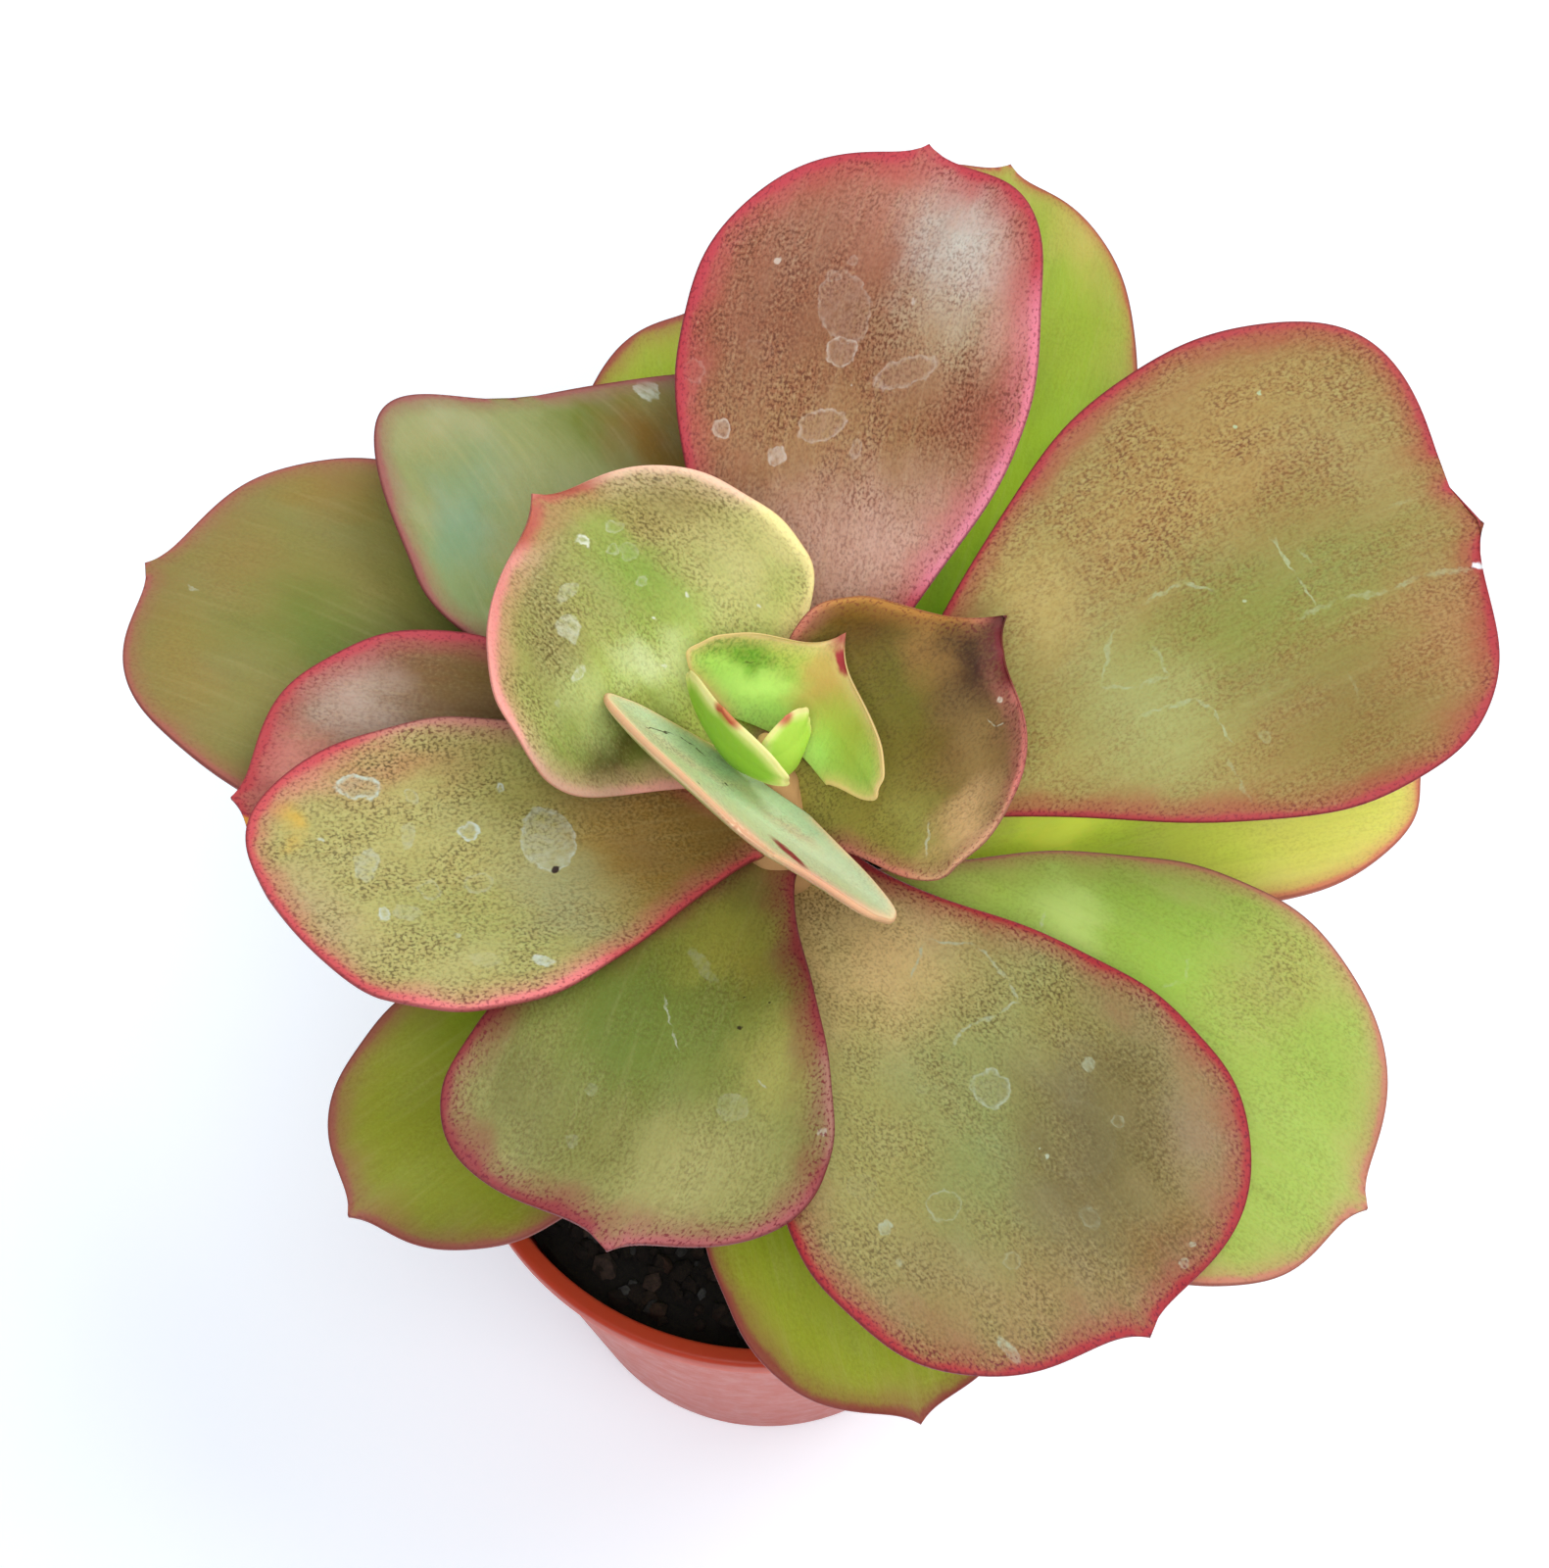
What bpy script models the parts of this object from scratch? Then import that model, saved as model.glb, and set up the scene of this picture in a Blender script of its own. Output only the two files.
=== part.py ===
"""A potted echeveria: a rosette of twenty fleshy leaves on a short stem, in soil, in a 75 mm plastic pot.

The origin is the centre of the pot's flat base, +Z is up, and +Y points away from whoever looks at
the rosette from its low front side. Lengths are in millimetres until put_mesh turns them to metres.
"""
import math

import bpy
import numpy as np

# Sizes
MM = 0.001
GAP = 0.3                     # clearance between neighbouring pieces

RIM_RADIUS = 37.5             # pot: outside of the lip
BASE_RADIUS = 26.5
POT_HEIGHT = 66.0
POT_WALL = 1.4
POT_FLOOR = 1.8
LIP_WIDTH = 2.2               # top of the lip, inside edge to outside edge
LIP_DEPTH = 3.6
LIP_ROUND = 0.6               # how far the lip's corners are cut back
LIP_DRAFT = 0.2               # how much narrower the lip is at its lower edge
BASE_ROUND = 1.2
DRAIN_HOLES = 6
DRAIN_RADIUS = 2.4
DRAIN_CIRCLE = 17.5
DRAIN_SEGMENTS = 16
POT_SEGMENTS = 60

SOIL_TOP = 58.5               # level at the pot's wall
SOIL_MOUND = 2.4              # how much higher it lies round the stem
SOIL_LUMP = 0.6               # height of its lumps
SOIL_SEGMENTS = 48
SOIL_RINGS = 8

STEM_FOOT = 40.0              # height of the stem's buried end
STEM_POINTS = ((1.0, 2.2, 40.0), (1.0, 3.0, 58.0), (1.3, 9.2, 112.0), (0.0, 13.5, 124.0))
STEM_HEIGHTS = (40.0, 58.0, 86.0, 100.0, 110.0, 115.0, 119.0, 122.0, 123.5)
STEM_RADII = (5.5, 5.5, 5.4, 5.0, 4.4, 3.6, 2.4, 1.5, 0.8)
STEM_SIDES = 20

NECK_RINGS = 7                # rings of points along a leaf's neck and along its blade
BLADE_RINGS = 9
LEAF_SIDES = 14               # points round a leaf's section
UPPER_SHARE = 0.35            # share of a leaf's thickness that lies above its margin
CREASE = 0.06                 # width of the midrib's fold as a share of the blade's

# What a leaf has unless its own line says otherwise. Angles are in degrees.
USUAL = dict(
    reach=3.0,                # from the stem's centre line to the leaf's root
    bend=1.0,                 # how late the slope changes from rise[0] to rise[1]
    sway=0.0,                 # turn of the midrib to the left from root to tip
    widest=0.64,              # where along the length the blade is widest
    neck=0.2,                 # width of the root as a share of the blade's
    taper=1.35,               # how late the neck widens
    blunt=0.75,               # end of the blade: 1 is an ellipse, less is squarer
    skew=0.0,                 # share by which the clockwise half is wider
    lean=0.0,                 # shift of the blade's end towards its clockwise side
    cup=(25.0, 14.0),         # half angle of the section's arc, at the root and at the blade
    fold=0.0,                 # lift of both halves from the midrib, as an open book
    roll=0.0,                 # lift of the clockwise side
    thick=4.2,
    mucro=2.0,                # length of the small point
    point_width=2.0,          # distance across in which the point falls to a third
    point_at=0.0,             # how far the point sits clockwise of the blade's end
    notch=0.0,                # depth of a dent in the blade's end
    slant=0.0,                # how much further ahead the end reaches for each mm clockwise
)

# The leaves from the youngest to the oldest: direction in plan, counter-clockwise from +X, height of
# the root, length, width, and slope at the root and at the tip.
LEAVES = {
    "leaf_01": dict(azimuth=-45, height=122.1, length=10, width=8, rise=(88, 96), reach=3.2, cup=(20, 25),
                    widest=0.5, neck=0.5, blunt=0.8, thick=1.2, mucro=1.2, color="BFDB66"),
    "leaf_02": dict(azimuth=-140, height=124.3, length=10.8, width=17, rise=(78, 92), reach=4.5,
                    cup=(22, 24), widest=0.5, neck=0.35, blunt=0.8, thick=1.3, mucro=1.5, color="C0DC6A"),
    "leaf_03": dict(azimuth=46, height=121.4, length=11, width=27, rise=(62, 46), reach=2.8, roll=-9,
                    fold=12, skew=0.05, cup=(22, 38), widest=0.5, neck=0.5, blunt=0.85, thick=2,
                    mucro=3.5, point_width=1.6, color="B3CC5E"),
    "leaf_04": dict(azimuth=-113, height=121, length=17, width=38, rise=(44, 62), reach=3.4,
                    cup=(10, 5), roll=17.5, skew=-0.1, lean=-3, widest=0.58, neck=0.34, taper=1.1,
                    blunt=0.8, thick=2.6, point_at=-5,
                    color="A5B795"),
    "leaf_05": dict(azimuth=134, height=115.5, length=37, width=40, rise=(52, 36), reach=4, cup=(20, 36),
                    roll=3.5, skew=-0.12, lean=-3, slant=0.1, widest=0.5, neck=0.18, taper=1.6, mucro=2.5,
                    color="A8AF62"),
    "leaf_06": dict(azimuth=19.5, height=113.5, length=28.2, width=35, rise=(46, 30), reach=2,
                    cup=(22, 48), roll=-17, skew=0.08, lean=-1, slant=0.3, widest=0.58, neck=0.29,
                    taper=1.6, blunt=0.85, mucro=5.5, point_width=2.5, point_at=-3, color="857048"),
    "leaf_07": dict(azimuth=-159.4, height=111.8, length=54.5, width=32, rise=(26, 14), sway=-4, roll=10,
                    skew=0.05, lean=1, slant=0.35, widest=0.63, neck=0.22, blunt=0.82, mucro=2.4,
                    point_at=-12, color="A59A63"),
    "leaf_08": dict(azimuth=79, height=110.5, length=72, width=39, rise=(38, 16), lean=3.5,
                    widest=0.67, taper=2.1, neck=0.18, blunt=0.62, color="9A6F5C"),
    "leaf_09": dict(azimuth=-106, height=108, length=49, width=40, rise=(22, 2), skew=0.18, lean=2.5,
                    widest=0.78, taper=1.7, blunt=0.6, color="97A45C"),
    "leaf_10": dict(azimuth=22.6, height=105.3, length=80.5, width=52.5, rise=(44, 8), bend=0.7,
                    roll=-18.5, skew=0.06, lean=1, slant=-0.09, widest=0.75, taper=2.2, neck=0.14,
                    blunt=0.48, mucro=2.2, point_at=5, color="A08A52"),
    "leaf_11": dict(azimuth=182, height=104.5, length=56, width=39, rise=(34, 6), roll=6, blunt=0.8,
                    color="A58578"),
    "leaf_12": dict(azimuth=-57, height=102.5, length=64.5, width=48, rise=(22, 0), cup=(18, 8), skew=0.03,
                    widest=0.68, taper=1.8, neck=0.34, blunt=0.68, color="93895A"),
    "leaf_13": dict(azimuth=117.5, height=101.3, length=60, width=44.5, rise=(30, 16), roll=-2,
                    skew=-0.04, lean=-4, slant=-0.37, widest=0.72, taper=2.6, neck=0.15, blunt=0.55,
                    mucro=0, notch=2, color="7F9A68"),
    "leaf_14": dict(azimuth=154, height=97.6, length=74.5, width=45.5, rise=(26, 5), cup=(18, 10), lean=-3,
                    taper=1.5, neck=0.16, blunt=0.7, color="9AA04F"),
    "leaf_15": dict(azimuth=70, height=96.6, length=86, width=43, rise=(24, 10), cup=(18, 10), sway=-2,
                    lean=-3, neck=0.14, color="9DB24A"),
    "leaf_16": dict(azimuth=-33.5, height=97, length=70, width=46, rise=(22, 0), sway=4, skew=-0.03,
                    lean=2, neck=0.22, blunt=0.72, color="9DAF4E"),
    "leaf_17": dict(azimuth=97, height=93, length=71, width=36, rise=(18, 5), blunt=0.8, color="8FA23C"),
    "leaf_18": dict(azimuth=12, height=92, length=71, width=28, rise=(14, 2), widest=0.74, taper=2.5,
                    neck=0.12, color="A3B83F"),
    "leaf_19": dict(azimuth=-142, height=91.5, length=54, width=32, rise=(10, 0), sway=4, color="94A83C"),
    "leaf_20": dict(azimuth=-75, height=88, length=54.5, width=35, rise=(10, -5), blunt=0.8, color="93A63B"),
}


def stem_axis(height):
    """The point of the stem's centre line at a height, read off straight runs through STEM_POINTS."""
    x, y, z = np.transpose(STEM_POINTS)
    return np.stack([np.interp(height, z, x), np.interp(height, z, y), height], -1)


def leaf_spine(at, along):
    """The midrib's points and its directions ahead, across (clockwise) and above, at shares along it.

    The midrib is an arc of the leaf's length that leaves the stem at rise[0] and ends at rise[1].
    """
    fine = np.linspace(0, 1, 201)
    rise = np.radians(at["rise"][0] + (at["rise"][1] - at["rise"][0]) * fine ** at["bend"])
    turn = np.radians(at["azimuth"] + at["sway"] * (fine - 0.35))
    ahead = np.stack([np.cos(rise) * np.cos(turn), np.cos(rise) * np.sin(turn), np.sin(rise)], -1)
    steps = (ahead[1:] + ahead[:-1]) / 2 * at["length"] / (len(fine) - 1)
    start = np.radians(at["azimuth"])
    root = stem_axis(at["height"]) + at["reach"] * np.array([np.cos(start), np.sin(start), 0])
    midrib = root + np.vstack([np.zeros(3), np.cumsum(steps, 0)])
    centre = np.stack([np.interp(along, fine, midrib[:, k]) for k in range(3)], -1)
    ahead = np.stack([np.interp(along, fine, ahead[:, k]) for k in range(3)], -1)
    ahead /= np.linalg.norm(ahead, axis=1)[:, None]
    turn = np.interp(along, fine, turn)
    across = np.stack([np.sin(turn), -np.cos(turn), 0 * turn], -1)
    above = np.cross(across, ahead)
    roll = np.radians(at["roll"])
    return (centre, ahead, across * np.cos(roll) + above * np.sin(roll),
            above * np.cos(roll) - across * np.sin(roll))


def leaf_rings(leaf, neck_rings, blade_rings, sides):
    """Rings of points round a leaf from its root to its tip, as an array of rings, sides and xyz.

    Across the midrib lies the half width: a sine that grows from the neck to the widest place, then
    a squared circle to the tip. The section is bent up into an arc of cup degrees to each side, and
    folded up from the midrib. Its thickness is a flattened super-ellipse, deeper below than above,
    that swells towards the middle and thins to the tip. The last ring is the tip.
    """
    at = {**USUAL, **leaf}
    widest = at["widest"]
    to_widest = np.linspace(0, widest, neck_rings, endpoint=False)
    to_tip = widest + (1 - widest) * np.sin(np.linspace(0, np.pi / 2, blade_rings))
    along = np.concatenate([to_widest, to_tip])
    before = np.clip(along / widest, 0, 1)
    past = np.clip((along - widest) / (1 - widest), 0, 1)
    centre, ahead, across, above = leaf_spine(at, along)

    growing = at["neck"] + (1 - at["neck"]) * np.sin(np.pi / 2 * before) ** at["taper"]
    closing = (1 - past**2) ** (0.5 * at["blunt"])
    half = np.where(along < widest, growing, closing)[:, None] * at["width"] / 2
    angle = np.linspace(0, 2 * np.pi, sides, endpoint=False)[None, :]
    side = np.sign(np.cos(angle)) * np.abs(np.cos(angle)) ** 0.9
    half = half * np.where(side > 0, 1 + at["skew"], 1 - at["skew"])
    cup = np.radians(at["cup"][0] + (at["cup"][1] - at["cup"][0]) * before)[:, None]
    x = half / cup * np.sin(cup * side)
    crease = CREASE * at["width"]
    lift = np.tan(np.radians(at["fold"])) * (np.hypot(x, crease) - crease)
    swell = 0.75 + 0.25 * np.sin(np.pi * np.clip(along / 0.6, 0, 1))
    thinning = np.sqrt(1 - (np.clip(along - 0.45, 0, 1) / 0.56) ** 3)
    depth = np.abs(np.sin(angle)).round(9) ** 0.6 * np.where(np.sin(angle) > 0, UPPER_SHARE, UPPER_SHARE - 1)
    z = half / cup * (1 - np.cos(cup * side)) + lift + (at["thick"] * swell * thinning)[:, None] * depth

    dent = at["notch"] * np.exp(-(x ** 2) / (2 * (0.22 * at["width"]) ** 2)) * past[:, None] ** 3
    point = at["mucro"] * np.exp(-np.abs(x - at["point_at"]) / at["point_width"]) * past[:, None] ** 4
    further = point - dent + at["slant"] * x * past[:, None] ** 2
    x = x + (at["lean"] * past**2)[:, None]
    rings = (centre[:, None] + across[:, None] * x[..., None] + above[:, None] * z[..., None]
             + ahead[:, None] * further[..., None])
    rings[-1] = centre[-1] + across[-1] * at["lean"] + ahead[-1] * further[-1, 0]
    return rings


def tube_rings(heights, radii, sides, grown=0.0):
    """Level rings round the stem's centre line at the given heights, each radius grown by a margin."""
    angle = np.linspace(0, 2 * np.pi, sides, endpoint=False)
    radii = np.array(radii)[:, None] + grown
    centre = stem_axis(np.array(heights, float))
    round_it = np.stack([radii * np.cos(angle), radii * np.sin(angle), 0 * radii * angle], -1)
    return centre[:, None] + round_it


def soil_rings():
    """Rings of the soil: up its tapered side and in over its lumpy mound to the middle.

    The top is a cosine mound with three crossing waves on it, fading out at the rim.
    """
    angle = np.linspace(0, 2 * np.pi, SOIL_SEGMENTS, endpoint=False)[None, :]
    bottom = POT_FLOOR + GAP
    wall_slope = (RIM_RADIUS - LIP_WIDTH - BASE_RADIUS + POT_WALL) / POT_HEIGHT
    inner_bottom = BASE_RADIUS - POT_WALL - GAP + wall_slope * bottom
    inner_top = BASE_RADIUS - POT_WALL - GAP + wall_slope * SOIL_TOP
    share = np.linspace(1, 0, SOIL_RINGS, endpoint=False)[:, None]
    radius = inner_top * share + 0 * angle
    x, y = radius * np.cos(angle), radius * np.sin(angle)
    waves = np.sin(0.55 * x + 0.3 * y) + np.sin(0.5 * y - 0.35 * x + 1.3) + np.sin(0.8 * x - 0.6 * y + 0.4)
    mound = SOIL_MOUND * (1 + np.cos(np.pi * share)) / 2
    top = SOIL_TOP + mound + SOIL_LUMP * waves * np.sin(np.pi * share / 2 + np.pi / 2 * (share < 1)) ** 2
    cap = np.stack([x, y, top + 0 * angle], -1)
    foot = np.stack([inner_bottom * np.cos(angle), inner_bottom * np.sin(angle), bottom + 0 * angle], -1)
    middle = np.zeros((1, SOIL_SEGMENTS, 3)) + (0, 0, SOIL_TOP + SOIL_MOUND)
    return np.concatenate([foot, cap, middle])


# Blender objects
def clear_scene():
    for thing in list(bpy.data.objects):
        bpy.data.objects.remove(thing, do_unlink=True)


def hex_to_linear(code):
    """An sRGB hex colour as linear red, green, blue and alpha."""
    channels = [int(code[i:i + 2], 16) / 255 for i in (0, 2, 4)]
    return [c / 12.92 if c <= 0.04045 else ((c + 0.055) / 1.055) ** 2.4 for c in channels] + [1.0]


def add_material(thing, code, roughness):
    material = bpy.data.materials.new(thing.name + "_material")
    material.use_nodes = True
    surface = material.node_tree.nodes["Principled BSDF"]
    surface.inputs["Base Color"].default_value = hex_to_linear(code)
    surface.inputs["Roughness"].default_value = roughness
    surface.inputs["Metallic"].default_value = 0.0
    thing.data.materials.append(material)


def put_mesh(name, points, faces):
    """A new object from points in millimetres, smooth except at sharp edges."""
    mesh = bpy.data.meshes.new(name)
    mesh.from_pydata((np.reshape(points, (-1, 3)) * MM).tolist(), [], faces)
    mesh.validate()
    mesh.shade_smooth()
    mesh.set_sharp_from_angle(angle=math.radians(40))
    thing = bpy.data.objects.new(name, mesh)
    bpy.context.collection.objects.link(thing)
    return thing


def ring_faces(rings, sides):
    """Quads between neighbouring rings that run counter-clockwise, seen from where the rings go."""
    return [
        (i * sides + j, i * sides + (j + 1) % sides, (i + 1) * sides + (j + 1) % sides, (i + 1) * sides + j)
        for i in range(rings - 1)
        for j in range(sides)
    ]


def closed_solid(name, rings, ends_in_point):
    """A body skinned over rings, with a flat first end and a flat or pointed last end."""
    count, sides = rings.shape[:2]
    points = rings.reshape(-1, 3)
    if ends_in_point:
        points = points[: (count - 1) * sides + 1]
        faces = ring_faces(count - 1, sides)
        last = (count - 2) * sides
        faces += [(last + j, last + (j + 1) % sides, last + sides) for j in range(sides)]
    else:
        faces = ring_faces(count, sides)
        faces.append(tuple(range((count - 1) * sides, count * sides)))
    faces.append(tuple(reversed(range(sides))))
    return put_mesh(name, points, faces)


def cut(thing, cutter, name):
    modifier = thing.modifiers.new(name, "BOOLEAN")
    modifier.operation = "DIFFERENCE"
    modifier.solver = "EXACT"
    modifier.object = cutter
    cutter.hide_render = True
    cutter.display_type = "WIRE"


def make_pot():
    """The pot: its wall's outline turned round Z, with drain holes cut through the floor."""
    wall_top = RIM_RADIUS - LIP_WIDTH + POT_WALL
    slope = (wall_top - BASE_RADIUS) / POT_HEIGHT
    under_lip = POT_HEIGHT - LIP_DEPTH
    outline = [
        (RIM_RADIUS - LIP_WIDTH, POT_HEIGHT - LIP_ROUND),
        (RIM_RADIUS - LIP_WIDTH + LIP_ROUND, POT_HEIGHT),
        (RIM_RADIUS - LIP_ROUND, POT_HEIGHT),
        (RIM_RADIUS, POT_HEIGHT - LIP_ROUND),
        (RIM_RADIUS - LIP_DRAFT, under_lip),
        (BASE_RADIUS + slope * under_lip, under_lip),
        (BASE_RADIUS + slope * BASE_ROUND, BASE_ROUND),
        (BASE_RADIUS - 0.3 * BASE_ROUND, 0.3 * BASE_ROUND),
        (BASE_RADIUS - BASE_ROUND, 0),
        (0, 0),
        (0, POT_FLOOR),
        (BASE_RADIUS - POT_WALL + slope * POT_FLOOR, POT_FLOOR),
    ]
    rings = len(outline)
    angle = np.linspace(0, 2 * np.pi, POT_SEGMENTS, endpoint=False)
    mesh = bpy.data.meshes.new("pot")
    points = [(r * MM, 0, z * MM) for r, z in outline]
    mesh.from_pydata(points, [(i, (i + 1) % rings) for i in range(rings)], [])
    pot = bpy.data.objects.new("pot", mesh)
    bpy.context.collection.objects.link(pot)
    turned = pot.modifiers.new("turned", "SCREW")
    turned.steps = POT_SEGMENTS
    turned.render_steps = POT_SEGMENTS
    turned.use_merge_vertices = True
    turned.merge_threshold = 0.00001
    turned.use_smooth_shade = True
    for i in range(DRAIN_HOLES):
        around = 2 * math.pi * i / DRAIN_HOLES
        bpy.ops.mesh.primitive_cylinder_add(
            vertices=DRAIN_SEGMENTS, radius=DRAIN_RADIUS * MM, depth=4 * POT_FLOOR * MM,
            location=(DRAIN_CIRCLE * MM * math.cos(around), DRAIN_CIRCLE * MM * math.sin(around), 0))
        drill = bpy.context.object
        drill.name = f"drain_cutter_{i + 1}"
        cut(pot, drill, f"drain_{i + 1}")
    add_material(pot, "C4674E", 0.45)


def make_soil():
    soil = closed_solid("soil", soil_rings(), True)
    heights = (STEM_FOOT - GAP, *STEM_HEIGHTS[1:3])
    hole = closed_solid("soil_hole_cutter", tube_rings(heights, STEM_RADII[:3], STEM_SIDES, GAP), False)
    cut(soil, hole, "stem_hole")
    add_material(soil, "2E2420", 0.95)


def make_stem():
    stem = closed_solid("stem", tube_rings(STEM_HEIGHTS, STEM_RADII, STEM_SIDES), False)
    add_material(stem, "8A8C55", 0.6)


def make_leaves():
    """Each leaf starts inside the stem and is cut back to a small clearance round it."""
    clearance = closed_solid("leaf_root_cutter", tube_rings(STEM_HEIGHTS, STEM_RADII, STEM_SIDES, GAP), False)
    for name, leaf in LEAVES.items():
        rings = leaf_rings(leaf, NECK_RINGS, BLADE_RINGS, LEAF_SIDES)
        solid = closed_solid(name, rings[:, ::-1], True)
        cut(solid, clearance, "stem_clearance")
        add_material(solid, leaf["color"], 0.45)


def main():
    clear_scene()
    make_pot()
    make_soil()
    make_stem()
    make_leaves()


main()
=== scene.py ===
"""The looks of a potted echeveria: twenty fleshy leaves on a short stem, in gritty soil, in a plastic pot.

Each leaf is worked out again on a fine grid from the same formula and sizes as its solid, in
millimetres, with the origin at the centre of the pot's base. Its skin is painted by nodes that read
how far a point lies along the leaf, across it and in from its edge.
"""

import functools
import math

import bpy
import numpy as np
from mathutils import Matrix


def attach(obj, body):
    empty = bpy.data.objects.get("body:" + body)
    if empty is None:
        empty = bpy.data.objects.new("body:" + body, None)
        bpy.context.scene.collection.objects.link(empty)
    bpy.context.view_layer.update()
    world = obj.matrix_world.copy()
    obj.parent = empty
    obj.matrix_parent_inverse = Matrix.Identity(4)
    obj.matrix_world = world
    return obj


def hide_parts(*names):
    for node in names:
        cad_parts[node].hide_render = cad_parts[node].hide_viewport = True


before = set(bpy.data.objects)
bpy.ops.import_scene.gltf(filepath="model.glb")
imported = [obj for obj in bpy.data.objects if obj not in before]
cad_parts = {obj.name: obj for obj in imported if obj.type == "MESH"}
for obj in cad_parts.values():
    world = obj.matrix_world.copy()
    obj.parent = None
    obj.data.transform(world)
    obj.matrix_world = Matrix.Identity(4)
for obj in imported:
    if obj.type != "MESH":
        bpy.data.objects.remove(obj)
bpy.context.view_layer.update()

MM = 0.001
rng = np.random.default_rng(7)

# Camera: pixels are those of a 1581 x 1600 image
IMAGE = (1581, 1600)
CAMERA_AT = np.array([1.0, -141.0, 416.0])
CAMERA_ELEVATION = 63.0
CAMERA_FOCAL = 3200.0         # in pixels
SENSOR = 36.0

# Room, in metres and watts. A light has a name, a place, a width and a power.
FLOOR_SIZE = 60.0
FLOOR_DROP = 0.0002           # the floor lies just under the pot's foot
SKY_STRENGTH = 0.44
LIGHTS = (("window", (0.6, 0.35, 1.2), 1.0, 8.5), ("front", (0.05, -0.5, 1.0), 0.7, 6.4))
LIT_PLACE = (0, 0.01, 0.1)    # where both lights point

# Pot
RIM_RADIUS = 37.5
BASE_RADIUS = 26.5
POT_HEIGHT = 66.0
POT_WALL = 1.4
POT_FLOOR = 1.8
LIP_WIDTH = 2.2
LIP_DEPTH = 3.6
LIP_ROUND = (0.65, 0.5)       # outside and inside
LIP_DRAFT = 0.2               # how far the lip draws in towards its lower edge
LIP_BEVEL = 0.25
LIP_FILLET = 0.3
FLOOR_BEVEL = 0.6
BASE_ROUND = 1.2
WALL_SLOPE = (RIM_RADIUS - LIP_WIDTH - BASE_RADIUS + POT_WALL) / POT_HEIGHT
HUB_RADIUS = 5.0              # flat middle of the floor
POT_SIDES = 192
DRAIN_HOLES = 6
DRAIN_RADIUS = 2.4
DRAIN_CIRCLE = 17.5
DRILL_TURN = 0.03             # keeps the facets of the holes off the edges of the floor

# Soil and stem
GAP = 0.3
SOIL_TOP = 58.5
SOIL_MOUND = 2.4
SOIL_LUMP = 0.6
SOIL_ROUGH = 0.3
GRAINS = 1500
GRAIN_SIZES = (0.3, 1.7)      # smallest and largest half width, before a grain is squashed
GRAIN_KEEP_OFF = 1.6          # how far the grains' middles stay from the wall
GRAIN_LIFT = 0.15             # and how high above the mound they lie
STEM_POINTS = ((1.0, 2.2, 40.0), (1.0, 3.0, 58.0), (1.3, 9.2, 112.0), (0.0, 13.5, 124.0))
STEM_HEIGHTS = (40.0, 58.0, 86.0, 100.0, 110.0, 115.0, 119.0, 122.0, 123.5)
STEM_RADII = (5.5, 5.5, 5.4, 5.0, 4.4, 3.6, 2.4, 1.5, 0.8)
STEM_YOUNG = (94, 106)        # heights between which the old bark gives way to young skin
SCAR_DEPTH = 0.35

# Grid of a leaf, and the small relief that only its fine surface has
NECK_RINGS = 52
BLADE_RINGS = 64
LEAF_SIDES = 88
WAVE = 0.35                   # height of the blade's unevenness
RIPPLE = 0.35                 # unevenness of its outline
GROOVE = 0.45                 # depth of the channel along the neck
UPPER_SHARE = 0.35            # share of a leaf's thickness that lies above its margin
CREASE = 0.06                 # width of the midrib's fold as a share of the blade's

# Patterns on the skins: size across and along a leaf in millimetres, and levels of detail. The grain is
# the stipple. Its real dots are about 0.2 mm wide, and it is drawn coarser than that so that it shows.
PATTERNS = dict(slow=(14, 22, 3), cloud=(5, 8, 3), streak=(0.8, 14, 2), speck=(0.65, 1.2, 3),
                grain=(0.3, 0.45, 2), wax=(7, 11, 5))
PATCH_WANDER = 9.0            # how far a patch's border wanders, from end to end, in millimetres
MARK_WANDER = 1.3             # the same for a mark's border
MARK_CROOK = 0.7              # bends for each millimetre of a mark's border
DROP_BRIM = (0.55, 0.2)       # how far inside its border a dried drop's brim begins and is palest
NO_DEPTH = 1e6                # scale of the third axis, so that it doesn't count in a distance

# What a leaf has unless its own line says otherwise. Angles are in degrees.
USUAL = dict(
    reach=3.0,                # from the stem's centre line to the leaf's root
    bend=1.0,                 # how late the slope changes from rise[0] to rise[1]
    sway=0.0,                 # turn of the midrib to the left from root to tip
    widest=0.64,              # where along the length the blade is widest
    neck=0.2,                 # width of the root as a share of the blade's
    taper=1.35,               # how late the neck widens
    blunt=0.75,               # end of the blade: 1 is an ellipse, less is squarer
    skew=0.0,                 # share by which the clockwise half is wider
    lean=0.0,                 # shift of the blade's end towards its clockwise side
    cup=(25.0, 14.0),         # half angle of the section's arc, at the root and at the blade
    fold=0.0,                 # lift of both halves from the midrib, as an open book
    roll=0.0,                 # lift of the clockwise side
    thick=4.2,
    mucro=2.0,                # length of the small point
    point_width=2.0,          # distance across in which the point falls to a third
    point_at=0.0,             # how far the point sits clockwise of the blade's end
    notch=0.0,                # depth of a dent in the blade's end
    slant=0.0,                # how much further ahead the end reaches for each mm clockwise
)


def leaf(azimuth, height, length, width, rise, **own):
    """A leaf's sizes: what it has of its own, over what is usual."""
    return dict(USUAL, azimuth=azimuth, height=height, length=length, width=width, rise=rise, **own)


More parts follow.
